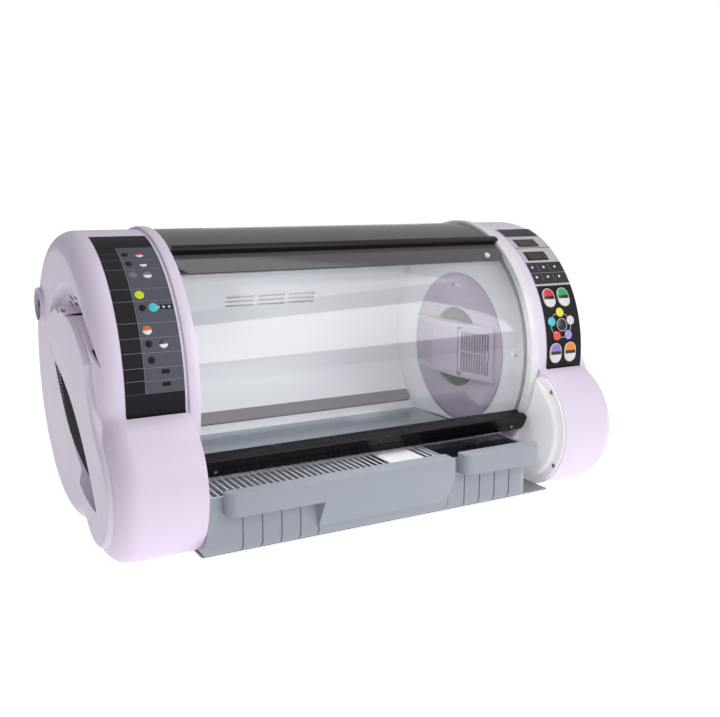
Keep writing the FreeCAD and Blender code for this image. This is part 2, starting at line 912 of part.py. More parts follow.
def hub_outline(inset, z_inset):
    """Plan of the raised hub: flat channel in the middle, slanted sides."""
    back = right_wall_x + dish_depth - 1
    front = back + 1 - hub_projection + inset
    shoulder = front + hub_slant
    z = -hub_half_height + z_inset
    low = unit_place(0, 0, z)
    side = channel_half_width - inset * 0.3
    reach = hub_reach - inset
    return [
        Vector(back, low.y - reach, low.z),
        Vector(shoulder, low.y - reach, low.z),
        Vector(front, low.y - side, low.z),
        Vector(front, low.y + side, low.z),
        Vector(shoulder, low.y + reach, low.z),
        Vector(back, low.y + reach, low.z),
    ]


def circulation_cover():
    """Lilac air unit: domed disc and raised hub with ribs, slots and a door opening."""
    back = right_wall_x + dish_depth
    disc = turned([(back, unit_radius), (back - 2, unit_radius), (back - unit_thickness, unit_radius - 10),
                   (back - unit_thickness, 0), (back, 0)], unit_place(0))
    disc = disc.cut(block(0, half_length, -half_length, half_length, -10, floor_top + seat_gap))
    hub = prism(hub_outline(0, 0), Vector(0, 0, 2 * hub_half_height))
    hub = filleted(hub, 4.0, lambda box: box.XMin < back - hub_slant / 2 and box.XMax < back - unit_thickness)
    cover = fused([disc, hub])
    hollow = prism(hub_outline(hub_wall, hub_wall), Vector(0, 0, 2 * hub_half_height - 2 * hub_wall))
    throat = rod(unit_place(back + 5), unit_place(back - unit_thickness - 1), fan_radius)
    cover = cover.cut(hollow.fuse(throat))
    cover = cover.cut(grille_room())
    for slot in rear_ribs() + upper_slots():
        cover = cover.cut(slot)
    lip = rod(unit_place(back - hub_projection + 4, 0, -hub_half_height - 6),
              unit_place(back - unit_thickness - 1, 0, -hub_half_height - 6), 13.0)
    return cover.cut(lip).cut(grille_hinge_pin())


def slant_frame():
    """Corner, direction and normal of the slanted front face of the hub."""
    front = right_wall_x + dish_depth - hub_projection
    start = unit_place(front, channel_half_width, 0)
    end = unit_place(front + hub_slant, hub_reach, 0)
    along = end.sub(start)
    length = along.Length
    along.normalize()
    normal = Vector(-along.y, along.x, 0)
    return start, along, normal, length


def slant_block(u0, u1, d0, d1, z0, z1):
    """Box in the slanted face's frame: along the face, into the hub, up."""
    start, along, normal, length = slant_frame()
    corner = start + along * u0 + normal * d0
    base = [
        corner,
        corner + along * (u1 - u0),
        corner + along * (u1 - u0) + normal * (d1 - d0),
        corner + normal * (d1 - d0),
    ]
    for point in base:
        point.z = unit_place(0).z + z0
    return prism(base, Vector(0, 0, z1 - z0))


def grille_room():
    """Opening in the hub that the filter grille closes."""
    length = slant_frame()[3]
    room_half = hub_half_height - grille_margin
    return slant_block(grille_margin, length - grille_margin - 2, -6, hub_wall + 3, -room_half, room_half)


def filter_grille():
    """Hinged grille with upright slots and a bar across their middle."""
    length = slant_frame()[3]
    gap = seat_gap
    half = hub_half_height - grille_margin - gap
    left = grille_margin + gap + 2 * hinge_barrel_radius
    right = length - grille_margin - 2 - gap
    plate = slant_block(left - hinge_barrel_radius, right, grille_set, grille_set + grille_thickness,
                        -half, half)
    first = (left + right) / 2 - (grille_slots - 1) / 2 * grille_slot_pitch
    for number in range(grille_slots):
        middle = first + number * grille_slot_pitch
        for low, high in ((-half + grille_slot_margin, -grille_mid_bar / 2),
                          (grille_mid_bar / 2, half - grille_slot_margin)):
            plate = plate.cut(slant_block(middle - grille_slot_width / 2, middle + grille_slot_width / 2,
                                          -2, 8, low, high))
    axle = hinge_axis()
    barrel = rod(axle + Vector(0, 0, -half + 6), axle + Vector(0, 0, half - 6), hinge_barrel_radius)
    bore = rod(axle + Vector(0, 0, -half), axle + Vector(0, 0, half), hinge_pin_radius + hinge_clearance)
    for low, high in ((-half - 1, -half + 6), (half - 6, half + 1)):
        plate = plate.cut(slant_block(left - hinge_barrel_radius - 1, left + hinge_barrel_radius, -1, 8,
                                      low, high))
    return fused([plate, barrel]).cut(bore)


def hinge_axis():
    """Middle of the filter grille's hinge."""
    start, along, normal, length = slant_frame()
    inward = grille_set + hinge_barrel_radius
    return start + along * (grille_margin + seat_gap + hinge_barrel_radius) + normal * inward


def grille_hinge_pin():
    """Pin through the grille's hinge, seated in the hub above and below."""
    axle = hinge_axis()
    reach = hub_half_height - hub_wall / 2
    return rod(axle + Vector(0, 0, -reach), axle + Vector(0, 0, reach), hinge_pin_radius)


def grille_latch():
    """Snap tab on the free edge of the filter grille."""
    length = slant_frame()[3]
    right = length - grille_margin - 2 - seat_gap
    tab = slant_block(right - 7, right - 1, -3, grille_set, -9, 9)
    return filleted(tab, 1.0, lambda box: box.ZLength > 10)


def rear_ribs():
    """Upright blind slots in the rear slanted face of the hub."""
    cuts = []
    front = right_wall_x + dish_depth - hub_projection
    low = unit_place(0, 0, -hub_half_height + 12)
    for number in range(9):
        y = low.y + channel_half_width + 10 + number * 8.5
        depth = front + (y - low.y - channel_half_width) / (hub_reach - channel_half_width) * hub_slant
        cuts.append(block(depth - 5, depth + 1.6, y, y + 3.4, low.z, low.z + 2 * hub_half_height - 24))
    return cuts


def upper_slots():
    """Short level slots above the hub, and the slot near the disc's top."""
    cuts = []
    back = right_wall_x + dish_depth
    for side in (-1, 1):
        for row in range(4):
            middle = unit_place(back, side * 48, hub_half_height + 14 + row * 8)
            cuts.append(block(back - 12, back - unit_thickness + 1.5, middle.y - 22, middle.y + 22,
                              middle.z - 1.2, middle.z + 1.2))
    top = unit_place(back, 0, unit_radius - 24)
    cuts.append(block(back - 12, back + 1, top.y - 14, top.y + 14, top.z - 2.5, top.z + 2.5))
    return cuts


def fan_shroud():
    """Duct ring behind the end wall, round the fan."""
    start = right_wall_x + dish_depth + wall_thickness
    end = motor_start() - motor_plate_thickness - 1
    outer = rod(unit_place(start), unit_place(end), fan_radius + fan_tip_gap + wall_thickness - seat_gap)
    inner = rod(unit_place(start - 1), unit_place(end + 1), fan_radius + fan_tip_gap)
    return outer.cut(inner)


def fan_start():
    """X of the fan's front face."""
    return right_wall_x + dish_depth + wall_thickness + fan_gap


def motor_start():
    """X of the motor's front face."""
    return fan_start() + fan_width + fan_back_gap


def fan_rotor():
    """Radial fan: back plate, hub with a bore and swept blades."""
    start = fan_start()
    back = start + fan_width
    plate = rod(unit_place(back - 2), unit_place(back), fan_radius)
    hub = rod(unit_place(start + 4), unit_place(back), fan_hub_radius)
    pieces = [plate, hub]
    centre = unit_place(start)
    for number in range(fan_blades):
        angle = number * 360.0 / fan_blades
        inner = turned_point(centre, angle, fan_radius * 0.45, start)
        middle = turned_point(centre, angle - 14, fan_radius * 0.74, start)
        outer = turned_point(centre, angle - 34, fan_radius - 1, start)
        inner_back = turned_point(centre, angle + 3, fan_radius * 0.45, start)
        middle_back = turned_point(centre, angle - 12, fan_radius * 0.74, start)
        outer_back = turned_point(centre, angle - 32.5, fan_radius - 1, start)
        blade = prism([inner, (middle, outer), outer_back, (middle_back, inner_back)],
                      Vector(fan_width - 1, 0, 0))
        pieces.append(blade)
    rotor = fused(pieces)
    bore = rod(unit_place(start - 1), unit_place(back + 1), shaft_radius + shaft_clearance)
    return rotor.cut(bore)


def fan_motor():
    """Motor with its shaft through the fan's hub."""
    start = motor_start()
    can = rod(unit_place(start), unit_place(start + motor_length), motor_radius)
    can = filleted(can, 3.0, lambda box: box.XLength < 0.01)
    shaft = rod(unit_place(fan_start() + 5), unit_place(start), shaft_radius)
    return fused([can, shaft])


def motor_bracket():
    """Plate with three arms that carries the motor on the side panel's edge."""
    start = motor_start()
    x = start - motor_plate_thickness
    plate = rod(unit_place(x), unit_place(start), motor_radius + 6)
    arms = [plate]
    centre = unit_place(x)
    foot_reach = fan_radius + fan_tip_gap + wall_thickness + bracket_foot_radius + 1
    for angle in (90, 210, 330):
        arm = Part.makeBox(motor_plate_thickness, foot_reach, bracket_arm_width,
                           centre - Vector(0, 0, bracket_arm_width / 2))
        arm.rotate(centre, along_x, angle)
        foot = rod(turned_point(centre, angle, foot_reach, right_flank + wall_thickness),
                   turned_point(centre, angle, foot_reach, start), bracket_foot_radius)
        arms += [arm, foot]
    bracket = fused(arms)
    return bracket.cut(rod(unit_place(x - 1), unit_place(start + 1), shaft_radius + 2))


def heater():
    """Finned heating rod across the fan's outlet, on two posts."""
    z = -fan_radius - fan_tip_gap - 34
    x = right_flank + wall_thickness
    start = unit_place(x + 22, 62, z)
    end = unit_place(x + 22, -62, z)
    pieces = [rod(start, end, 4.0)]
    for number in range(9):
        y = start.y + 14 + number * 12
        pieces.append(rod(Vector(start.x, y, start.z), Vector(start.x, y + 2, start.z), 13.0))
    for point in (start, end):
        pieces.append(rod(Vector(x, point.y, point.z), Vector(point.x, point.y, point.z), 5.0))
    return fused(pieces)


# Operating panel


def control_panel():
    """Curved plate of the control panel with windows for displays, lamps and keypad."""
    low = barrel_radius - panel_recess + panel_edge_gap
    high = barrel_radius + 0.4
    edge = math.degrees(panel_edge_gap / barrel_radius)
    plate = sector(low, high, control_top_angle + edge, control_low_angle - edge,
                   control_left + panel_edge_gap, control_right - panel_edge_gap)
    for top, end in display_angles:
        plate = plate.cut(sector(low + 1.5, high + 1, top, end, display_left, display_right))
    plate = plate.cut(sector(low + 1.5, high + 1, indicator_top_angle, indicator_low_angle,
                             control_left + keypad_margin, control_right - keypad_margin))
    plate = plate.cut(sector(low - 1, high + 1, keypad_top_angle, keypad_low_angle,
                             control_left + keypad_margin, control_right - keypad_margin))
    return plate


def display(number):
    """Display window set in the control panel."""
    top, end = display_angles[number]
    low = barrel_radius - panel_recess + panel_edge_gap + 1.5
    edge = math.degrees(panel_edge_gap / barrel_radius)
    return sector(low, barrel_radius + 0.6, top + edge, end - edge, display_left + panel_edge_gap,
                  display_right - panel_edge_gap)


def indicator_block():
    """Dark strip with two rows of three signal lamps."""
    low = barrel_radius - panel_recess + panel_edge_gap + 1.5
    edge = math.degrees(panel_edge_gap / barrel_radius)
    left = control_left + keypad_margin + panel_edge_gap
    right = control_right - keypad_margin - panel_edge_gap
    strip = sector(low, barrel_radius + 0.6, indicator_top_angle + edge, indicator_low_angle - edge,
                   left, right)
    lamps = [strip]
    cell = (right - left) / 3
    for row in range(2):
        angle = indicator_top_angle + (row + 0.5) * (indicator_low_angle - indicator_top_angle) / 2
        for column in range(3):
            x = left + (column + 0.5) * cell
            lamps.append(rod(at(angle, barrel_radius, x), at(angle, barrel_radius + 1.2, x), 2.2))
    return fused(lamps)


def key_places():
    """Name, X, angle, width and height of every key."""
    left, right = oval_columns
    places = [
        ("key_red", left, upper_oval_angle, oval_width, oval_height),
        ("key_green", right, upper_oval_angle, oval_width, oval_height),
        ("key_violet", left, lower_oval_angle, oval_width, oval_height),
        ("key_orange", right, lower_oval_angle, oval_width, oval_height),
        ("key_dial", dial_x, dial_angle, 2 * dial_key_radius, 2 * dial_key_radius),
    ]
    colours = ("yellow", "white", "purple", "pink", "cyan")
    for number, colour in enumerate(colours):
        turn = math.radians(90 - 72 * number)
        x = dial_x + ring_key_radius * math.cos(turn)
        angle = dial_angle - math.degrees(ring_key_radius * math.sin(turn) / barrel_radius)
        size = 2 * round_key_radius
        places.append(("key_" + colour, x, angle, size, size))
    return places


def key_body(x, angle, width, height, low, high):
    """Upright oval or round plug, square to the panel at its own place."""
    base = at(angle, low, x)
    out = at(angle, 1, 0).sub(at(angle, 0, 0))
    up = Vector(0, out.z, -out.y)
    half_w = width / 2
    straight = height / 2 - half_w
    centre_up = base + up * straight
    centre_down = base - up * straight
    side = Vector(half_w, 0, 0)
    if straight < 0.01:
        return Part.makeCylinder(half_w, high - low, base, out)
    points = [
        centre_down + side,
        centre_up + side,
        (centre_up + up * half_w, centre_up - side),
        centre_down - side,
        (centre_down - up * half_w, centre_down + side),
    ]
    return prism(points, out * (high - low))


def keypad():
    """Black keypad plate with a pocket for each key."""
    low = barrel_radius - panel_recess + panel_edge_gap
    edge = math.degrees(panel_edge_gap / barrel_radius)
    left = control_left + keypad_margin + panel_edge_gap
    right = control_right - keypad_margin - panel_edge_gap
    plate = sector(low, barrel_radius + panel_proud, keypad_top_angle + edge, keypad_low_angle - edge,
                   left, right)
    for name, x, angle, width, height in key_places():
        pocket = key_body(x, angle, width + 2 * key_gap, height + 2 * key_gap, low + key_floor,
                          barrel_radius + 8)
        plate = plate.cut(pocket)
    return plate


def key(x, angle, width, height):
    """One key with a rounded top edge."""
    low = barrel_radius - panel_recess + panel_edge_gap + key_floor + key_travel + key_gap
    high = barrel_radius + panel_proud + key_proud
    body = key_body(x, angle, width, height, low, high)
    out = at(angle, 1, 0).sub(at(angle, 0, 0))
    top = at(angle, high, x)

    def on_top(edge):
        return all(abs((v.Point - top).dot(out)) < 0.05 for v in edge.Vertexes)

    edges = [edge for edge in body.Edges if on_top(edge)]
    return body.makeFillet(1.0, edges)


def instruction_panel():
    """Bare plate in the left housing's label recess."""
    edge = math.degrees(panel_edge_gap / barrel_radius)
    return sector(barrel_radius - label_depth, barrel_radius + 0.3, label_top_angle + edge,
                  label_low_angle - edge, label_left + panel_edge_gap,
                  label_right - panel_edge_gap)


def cover_cap():
    """White cap on the right end of the smoked cover's lower lip."""
    angle = 129.8
    x = 268.0
    cap = rod(at(angle, skin_radius, x), at(angle, skin_radius + 3.5, x), 5.0)
    return cap


def wall_knob():
    """Small white knob on the right end wall, in front of the air unit."""
    start = Vector(right_wall_x + dish_depth / 2, axis_y - wall_knob_reach, axis_z + 4)
    return rod(start, start + Vector(-9, 0, 0), 5.5).cut(right_end_wall())


def side_port():
    """Round plug in the port of the left end."""
    start = port_place(-half_length + end_step + port_depth)
    stem = rod(start, port_place(-half_length + end_step + 2), port_radius - 2)
    nozzle = rod(port_place(-half_length + end_step + 2), port_place(-half_length + end_step - 4), 8.0)
    return fused([stem, nozzle]).cut(rod(start + Vector(-4, 0, 0), port_place(-half_length), 4.5))


def lobe_cheek():
    """Crescent-shaped moulded cheek on the right lobe's flank, clear of the door."""
    centre = Vector(right_flank, lobe_axis.y, lobe_axis.z)
    boss_left = cheek_left
    flange_left = right_flank - cheek_flange
    boss = Part.makeCylinder(cheek_radius, flange_left - boss_left, Vector(boss_left, centre.y, centre.z),
                             along_x)
    boss = filleted(boss, cheek_edge_radius, lambda box: box.XMax < boss_left + 0.01)
    flange = Part.makeCylinder(cheek_flange_radius, cheek_flange, Vector(flange_left, centre.y, centre.z),
                               along_x)
    flange = filleted(flange, 1.5, lambda box: box.XMax < flange_left + 0.01)
    cheek = fused([boss, flange])
    clear = rail_inner_radius + rail_thickness + cheek_door_gap
    room = Part.makeCylinder(clear, overall_length, Vector(0, axis_y, axis_z), along_x)
    cheek = cheek.cut(room)
    return cheek


def cheek_screws():
    """Screw heads on the cheek's flange."""
    screws = []
    for angle in cheek_screw_angles:
        head = turned_point(lobe_axis, angle, cheek_screw_radius, right_flank - cheek_flange)
        screws.append(rod(head, head + Vector(-2, 0, 0), 4.0))
    return Part.makeCompound(screws)


def feet():
    """Four rubber feet under the housings, their tops following the shell."""
    pads = []
    for x in (-foot_x, foot_x):
        front = Part.makeCylinder(foot_radius, 12, Vector(x, axis_y - front_foot_reach, 0))
        lobe = Part.makeCylinder(lobe_radius, overall_length, Vector(-half_length, lobe_axis.y, lobe_axis.z),
                                 along_x)
        rear = Part.makeCylinder(foot_radius, 60, Vector(x, axis_y + rear_foot_set, 0))
        barrel = Part.makeCylinder(barrel_radius, overall_length, Vector(-half_length, axis_y, axis_z),
                                   along_x)
        pads.append(front.cut(lobe))
        pads.append(rear.cut(barrel))
    return Part.makeCompound(pads)


def inlet_place():
    """Middle of the plate in the rear recess."""
    middle = at(inlet_angle, barrel_radius, inlet_x)
    return Vector(inlet_x, middle.y - inlet_depth, middle.z)


def switch_place():
    """Pivot of the mains switch."""
    return inlet_place() + Vector(-inlet_width / 4, inlet_plate, 0)


def power_inlet():
    """Plate with the mains inlet and the frame of the switch."""
    base = inlet_place()
    half_w = inlet_width / 2 - panel_edge_gap
    half_h = inlet_height / 2 - panel_edge_gap
    plate = block(base.x - half_w, base.x + half_w, base.y, base.y + inlet_plate, base.z - half_h,
                  base.z + half_h)
    socket_x = base.x + inlet_width / 4
    collar = block(socket_x - 15, socket_x + 15, base.y, base.y + inlet_plate + 4, base.z - 12, base.z + 12)
    mouth = block(socket_x - 12, socket_x + 12, base.y + 1, base.y + inlet_plate + 5, base.z - 9, base.z + 9)
    pins = [block(socket_x + dx - 1, socket_x + dx + 1, base.y + 0.5, base.y + inlet_plate + 2,
                  base.z + dz - 2, base.z + dz + 2) for dx, dz in ((-6, -2), (0, 3), (6, -2))]
    pivot = switch_place()
    frame = block(pivot.x - switch_width / 2 - 3, pivot.x + switch_width / 2 + 3, base.y,
                  base.y + inlet_plate + 3, base.z - switch_height / 2 - 3, base.z + switch_height / 2 + 3)
    well = block(pivot.x - switch_width / 2 - switch_gap, pivot.x + switch_width / 2 + switch_gap,
                 base.y + 0.6, base.y + 20, base.z - switch_height / 2 - switch_gap,
                 base.z + switch_height / 2 + switch_gap)
    axle = rod(pivot - Vector(switch_width / 2 + 1, 0, 0), pivot + Vector(switch_width / 2 + 1, 0, 0),
               switch_pin_radius)
    return fused([plate, collar, frame]).cut(mouth).cut(well).multiFuse(pins + [axle])


def power_switch():
    """Rocker of the mains switch on its pivot pin."""
    pivot = switch_place()
    half_w = switch_width / 2
    half_h = switch_height / 2 - 0.4
    points = [
        pivot + Vector(-half_w, 0.2, -half_h),
        pivot + Vector(-half_w, 5.2, -half_h),
        (pivot + Vector(-half_w, 3.6, 0), pivot + Vector(-half_w, 4.0, half_h)),
        pivot + Vector(-half_w, 0.2, half_h),
        (pivot + Vector(-half_w, -2.1, 0), pivot + Vector(-half_w, 0.2, -half_h)),
    ]
    body = prism(points, Vector(switch_width, 0, 0))
    bore = rod(pivot - Vector(switch_width, 0, 0), pivot + Vector(switch_width, 0, 0),
               switch_pin_radius + 0.05)
    return body.cut(bore)


def control_board():
    """Circuit board on four posts inside the right housing, with its larger parts."""
    middle = Vector(board_x, axis_y - 128, axis_z + 48)
    back = right_flank + wall_thickness
    board = block(board_x, board_x + board_thickness, middle.y - board_width / 2,
                  middle.y + board_width / 2, middle.z - board_height / 2, middle.z + board_height / 2)
    pieces = [board]
    for dy in (-1, 1):
        for dz in (-1, 1):
            foot = middle + Vector(0, dy * (board_width / 2 - 8), dz * (board_height / 2 - 8))
            pieces.append(rod(Vector(back, foot.y, foot.z), Vector(board_x, foot.y, foot.z), 3.5))
    top = board_x + board_thickness
    for dy, dz, width, height, tall in ((-20, 30, 26, 26, 5), (24, 28, 20, 30, 16), (-14, -26, 40, 18, 8)):
        pieces.append(block(top, top + tall, middle.y + dy - width / 2, middle.y + dy + width / 2,
                            middle.z + dz - height / 2, middle.z + dz + height / 2))
    return fused(pieces)


def build():
    os.makedirs("parts", exist_ok=True)
    save("left_housing", left_housing())
    save("right_housing", right_housing())
    save("left_side_panel", left_side_panel())
    save("right_side_panel", right_side_panel())
    save("left_ring", left_ring())
    save("right_ring", right_ring())
    save("top_cover", top_cover())
    save("rear_shell", rear_shell())
    save("rear_liner", rear_liner())
    save("top_rail", top_rail())
    save("door_sheet", door_sheet())
    save("door_rail", door_rail())
    save("door_rail_pins", door_rail_pins())
    save("front_sill", front_sill())
    save("rear_rail", rear_rail())
    save("chamber_floor", chamber_floor())
    save("base_frame", base_frame())
    save("waste_drawer", waste_drawer())
    save("wire_rack", wire_rack())
    save("tank_drawer", tank_drawer())
    save("tank_lid", tank_lid())
    save("left_end_wall", left_end_wall())
    save("right_end_wall", right_end_wall())
    save("circulation_cover", circulation_cover())
    save("filter_grille", filter_grille())
    save("grille_latch", grille_latch())
    save("grille_hinge_pin", grille_hinge_pin())
    save("fan_shroud", fan_shroud())
    save("fan_rotor", fan_rotor())
    save("fan_motor", fan_motor())
    save("motor_bracket", motor_bracket())
    save("heater", heater())
    save("control_panel", control_panel())
    save("upper_display", display(0))
    save("lower_display", display(1))
    save("indicator_block", indicator_block())
    save("keypad", keypad())
    for name, x, angle, width, height in key_places():
        save(name, key(x, angle, width, height))
    save("instruction_panel", instruction_panel())
    save("cover_cap", cover_cap())
    save("wall_knob", wall_knob())
    save("side_port", side_port())
    save("lobe_cheek", lobe_cheek())
    save("cheek_screws", cheek_screws())
    save("feet", feet())
    save("power_inlet", power_inlet())
    save("power_switch", power_switch())
    save("control_board", control_board())


build()
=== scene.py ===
import json
import math

import bpy
from mathutils import Matrix, Quaternion, Vector


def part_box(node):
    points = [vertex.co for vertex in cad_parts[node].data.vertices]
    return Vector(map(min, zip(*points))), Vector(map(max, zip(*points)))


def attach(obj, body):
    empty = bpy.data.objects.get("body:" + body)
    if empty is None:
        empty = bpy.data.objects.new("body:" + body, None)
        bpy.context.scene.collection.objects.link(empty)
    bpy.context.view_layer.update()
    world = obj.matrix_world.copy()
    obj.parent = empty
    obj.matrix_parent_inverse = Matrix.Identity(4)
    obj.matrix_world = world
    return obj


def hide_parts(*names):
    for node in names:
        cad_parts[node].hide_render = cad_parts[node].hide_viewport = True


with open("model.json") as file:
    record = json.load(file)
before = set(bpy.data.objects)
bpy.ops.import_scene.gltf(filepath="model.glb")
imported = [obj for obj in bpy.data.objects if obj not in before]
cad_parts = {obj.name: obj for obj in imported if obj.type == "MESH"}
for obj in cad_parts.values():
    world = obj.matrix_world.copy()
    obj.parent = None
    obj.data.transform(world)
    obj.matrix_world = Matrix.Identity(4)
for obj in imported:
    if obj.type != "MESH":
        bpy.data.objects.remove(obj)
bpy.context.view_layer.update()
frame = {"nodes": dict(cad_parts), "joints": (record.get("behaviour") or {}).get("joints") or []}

MM = 0.001
nodes = frame["nodes"]
joints = {joint["name"]: joint for joint in frame["joints"]}
barrel_axis = Vector(joints["door_roll"]["pos_m"])

# Camera, as found from the photograph
image_width = 720
focal_pixels = 921.1
sensor_width = 36.0
camera_place = Vector((-0.7283, -1.4264, 0.5257))
camera_yaw = 29.24
camera_pitch = 10.29
world_left = 0.2
world_right = 0.46
floor_glow = 0.5
floor_white = 0.72

# Sizes of the printed and fitted details, in mm about the barrel axis
label_face = 229.3
label_film = 0.15
label_left = -405.7
label_right = -320.3
label_split = -376.6
label_line = 0.6
header_angles = (105.1, 116.0)
footer_angles = (177.3, 186.3)
left_rows = (116.0, 120.2, 124.1, 129.3, 138.5, 143.7, 152.1, 157.7, 162.9, 168.2, 172.6, 177.3)
right_rows = (116.0, 124.1, 129.2, 138.5, 143.7, 152.3, 157.8, 163.1, 168.4, 172.9, 177.3)
panel_face = 229.4
block_face = 229.6
keypad_face = 229.8
panel_left = 342.4
panel_right = 422.6
panel_strip = (344.5, 420.0, 108.3, 116.4)
panel_line = (125.45, 125.8)
lamp_columns = (352.3, 378.0, 403.7)
lamp_angles = (138.0, 143.3)
lamp_radius = 2.5
cap_low = 230.95
cap_face = 232.5
round_cap = 8.3
dial_cap = 12.2
dial_ring_radius = 22.5
dial_x = 378.0
dial_angle = 166.3
dial_bead_radius = 11.2
oval_width = 26.0
oval_height = 35.5
half_length = 450.0
slot_first = (-85, 70)
slot_last = (262, -150)
slot_length = 411.0
slot_far = 64.0
slot_near = 4.0
drum_depth = 300.0
# Size and place of the dark sheet in the left finger slot, which is painted shade
shade_sheet_sunk = 0.35
shade_sheet_thickness = 1.6
shade_sheet_width = 110.0
shade_sheet_shift = 30.0
shade_sheet_start = 12.0
display_left = 352.2
displays = {"upper": (119.0, 124.9), "lower": (128.4, 134.0)}
rail_left = -296.5
rail_right = 310.0
rail_angles = (118.9, 122.2)
rail_under = 235.2
rail_slab = 3.4
rail_corner = 5.0
rail_edge = 0.9
rail_web_back = 7.0
cover_radius = 229.0
cheek_flange_radius = 107.0
cheek_boss_radius = 93.0
cheek_boss_height = 12.0
cheek_flange = 4.0
cheek_room = 234.5
cheek_bevel = (26.0, 5.0)
cheek_top = 92.0
cheek_flange_edge = 1.5
cheek_boss_edge = 6.0
rail_radius = 247.0
pin_radius = 2.6
pin_height = 1.2
cheek_screw_radius = 4.0
label_discs = (
    ("dark", 5.0, "#17161B",
     ((-368.0, 120.8), (-367.4, 126.2), (-365.8, 146.4), (-365.6, 159.9), (-364.6, 165.7))),
    ("grey", 6.0, "#77777C", ((-366.8, 132.0),)),
    ("yellow", 6.8, "#D7DE2E", ((-365.8, 141.1),)),
    ("cyan", 6.8, "#4BD0D2", ((-350.1, 146.5),)),
    ("light", 2.0, "#C9CBD0", ((-343.0, 146.5), (-335.0, 146.5), (-327.0, 146.5))),
)
label_halves = (
    ("red", -346.8, 121.2, 5.6, "#E6E5E8", "#C22A44"),
    ("white", -346.8, 126.7, 5.6, "#E6E5E8", "#4E5059"),
    ("pale", -346.0, 132.2, 6.4, "#E6E5E8", "#6A6C74"),
    ("orange", -365.1, 154.9, 6.6, "#E6E5E8", "#D46A26"),
    ("slate", -344.7, 160.2, 6.2, "#E6E5E8", "#3A3D47"),
)
label_bars = (
    (-340.5, -322.0, 145.6, 147.4),
    (-352.0, -340.5, 169.2, 170.7),
    (-352.0, -340.0, 173.7, 175.1),
)


# Small tools


def srgb(code):
    """Linear colour from an sRGB hex code."""
    parts = [int(code[k:k + 2], 16) / 255 for k in (1, 3, 5)]
    linear = [c / 12.92 if c <= 0.04045 else ((c + 0.055) / 1.055) ** 2.4 for c in parts]
    return linear + [1.0]


def on_barrel(angle, radius, x=0.0):
    """Point about the barrel axis: 0 is the rear, 90 the top, 180 the front."""
    a = math.radians(angle)
    return Vector((x, barrel_axis.y + radius * math.cos(a), barrel_axis.z + radius * math.sin(a)))


def deselect():
    if bpy.context.object and bpy.context.object.mode != "OBJECT":
        bpy.ops.object.mode_set(mode="OBJECT")
    bpy.ops.object.select_all(action="DESELECT")


def only(piece):
    """Make one object the selected and active one."""
    deselect()
    piece.select_set(True)
    bpy.context.view_layer.objects.active = piece
    return piece


def settle(piece):
    """Put an object's place, turn and size into its mesh."""
    only(piece)
    bpy.ops.object.transform_apply(location=True, rotation=True, scale=True)
    return piece


def edit(piece, *steps):
    """Run edit-mode steps on the whole mesh of one object."""
    only(piece)
    bpy.ops.object.mode_set(mode="EDIT")
    bpy.ops.mesh.select_all(action="SELECT")
    for step in steps:
        step()
    bpy.ops.object.mode_set(mode="OBJECT")
    return piece


def joined(name, pieces):
    """One object from several."""
    only(pieces[0])
    for piece in pieces:
        piece.select_set(True)
    if len(pieces) > 1:
        bpy.ops.object.join()
    made = bpy.context.object
    made.name = name
    made.data.name = name
    return made


def finished(piece, name, body, slot, paint, *stands_for):
    """Name, smooth and paint a piece, and let it ride on its body."""
    piece.name = name
    piece.data.name = name
    only(piece)
    bpy.ops.object.shade_smooth_by_angle(angle=math.radians(35))
    piece.data.materials.clear()
    piece.data.materials.append(paint)
    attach(piece, body)
    if stands_for:
        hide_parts(*stands_for)
    return piece


def curved_plate(left, right, top, low, radius, thickness):
    """Slab about the barrel axis, spun in edit mode from one upright strip."""
    start = on_barrel(top, radius + thickness / 2, (left + right) / 2)
    bpy.ops.mesh.primitive_plane_add(size=1, location=start, rotation=(math.radians(top), 0, 0))
    plate = bpy.context.object
    plate.scale = (right - left, thickness, 1)
    settle(plate)
    steps = max(2, round(abs(low - top) / 2))
    edit(
        plate,
        lambda: bpy.ops.mesh.spin(steps=steps, angle=math.radians(top - low), center=barrel_axis, axis=(1, 0, 0)),
        lambda: bpy.ops.mesh.select_all(action="SELECT"),
        lambda: bpy.ops.mesh.remove_doubles(threshold=1e-7),
        lambda: bpy.ops.mesh.normals_make_consistent(inside=False),
    )
    return plate


def pick(piece, test):
    """Step for edit: select only the vertices that pass a test."""
    def step():
        bpy.ops.mesh.select_mode(type="VERT")
        bpy.ops.mesh.select_all(action="DESELECT")
        bpy.ops.object.mode_set(mode="OBJECT")
        for vertex in piece.data.vertices:
            vertex.select = test(vertex.co)
        bpy.ops.object.mode_set(mode="EDIT")
    return step


def film(name, left, right, top, low, face, slot, paint):
    """Thin printed film on a curved panel, sizes in mm and degrees."""
    plate = curved_plate(left * MM, right * MM, top, low, face * MM, label_film * MM)
    return finished(plate, name, "cabinet", slot, paint)


def disc(x, angle, radius, face, height, edge):
    """Round cap square on a curved panel, its outer rim bevelled; sizes in mm."""
    bpy.ops.mesh.primitive_cylinder_add(
        vertices=40, radius=radius * MM, depth=height * MM,
        location=on_barrel(angle, (face + height / 2) * MM, x * MM), rotation=(math.radians(angle - 90), 0, 0))
    cap = settle(bpy.context.object)
    out = on_barrel(angle, 1) - on_barrel(angle, 0)
    middle = on_barrel(angle, (face + height / 2) * MM)
    edit(
        cap,
        pick(cap, lambda co: (co - middle).dot(out) > 0),
        lambda: bpy.ops.mesh.bevel(offset=edge * MM, segments=2, affect="EDGES"),
    )
    return cap


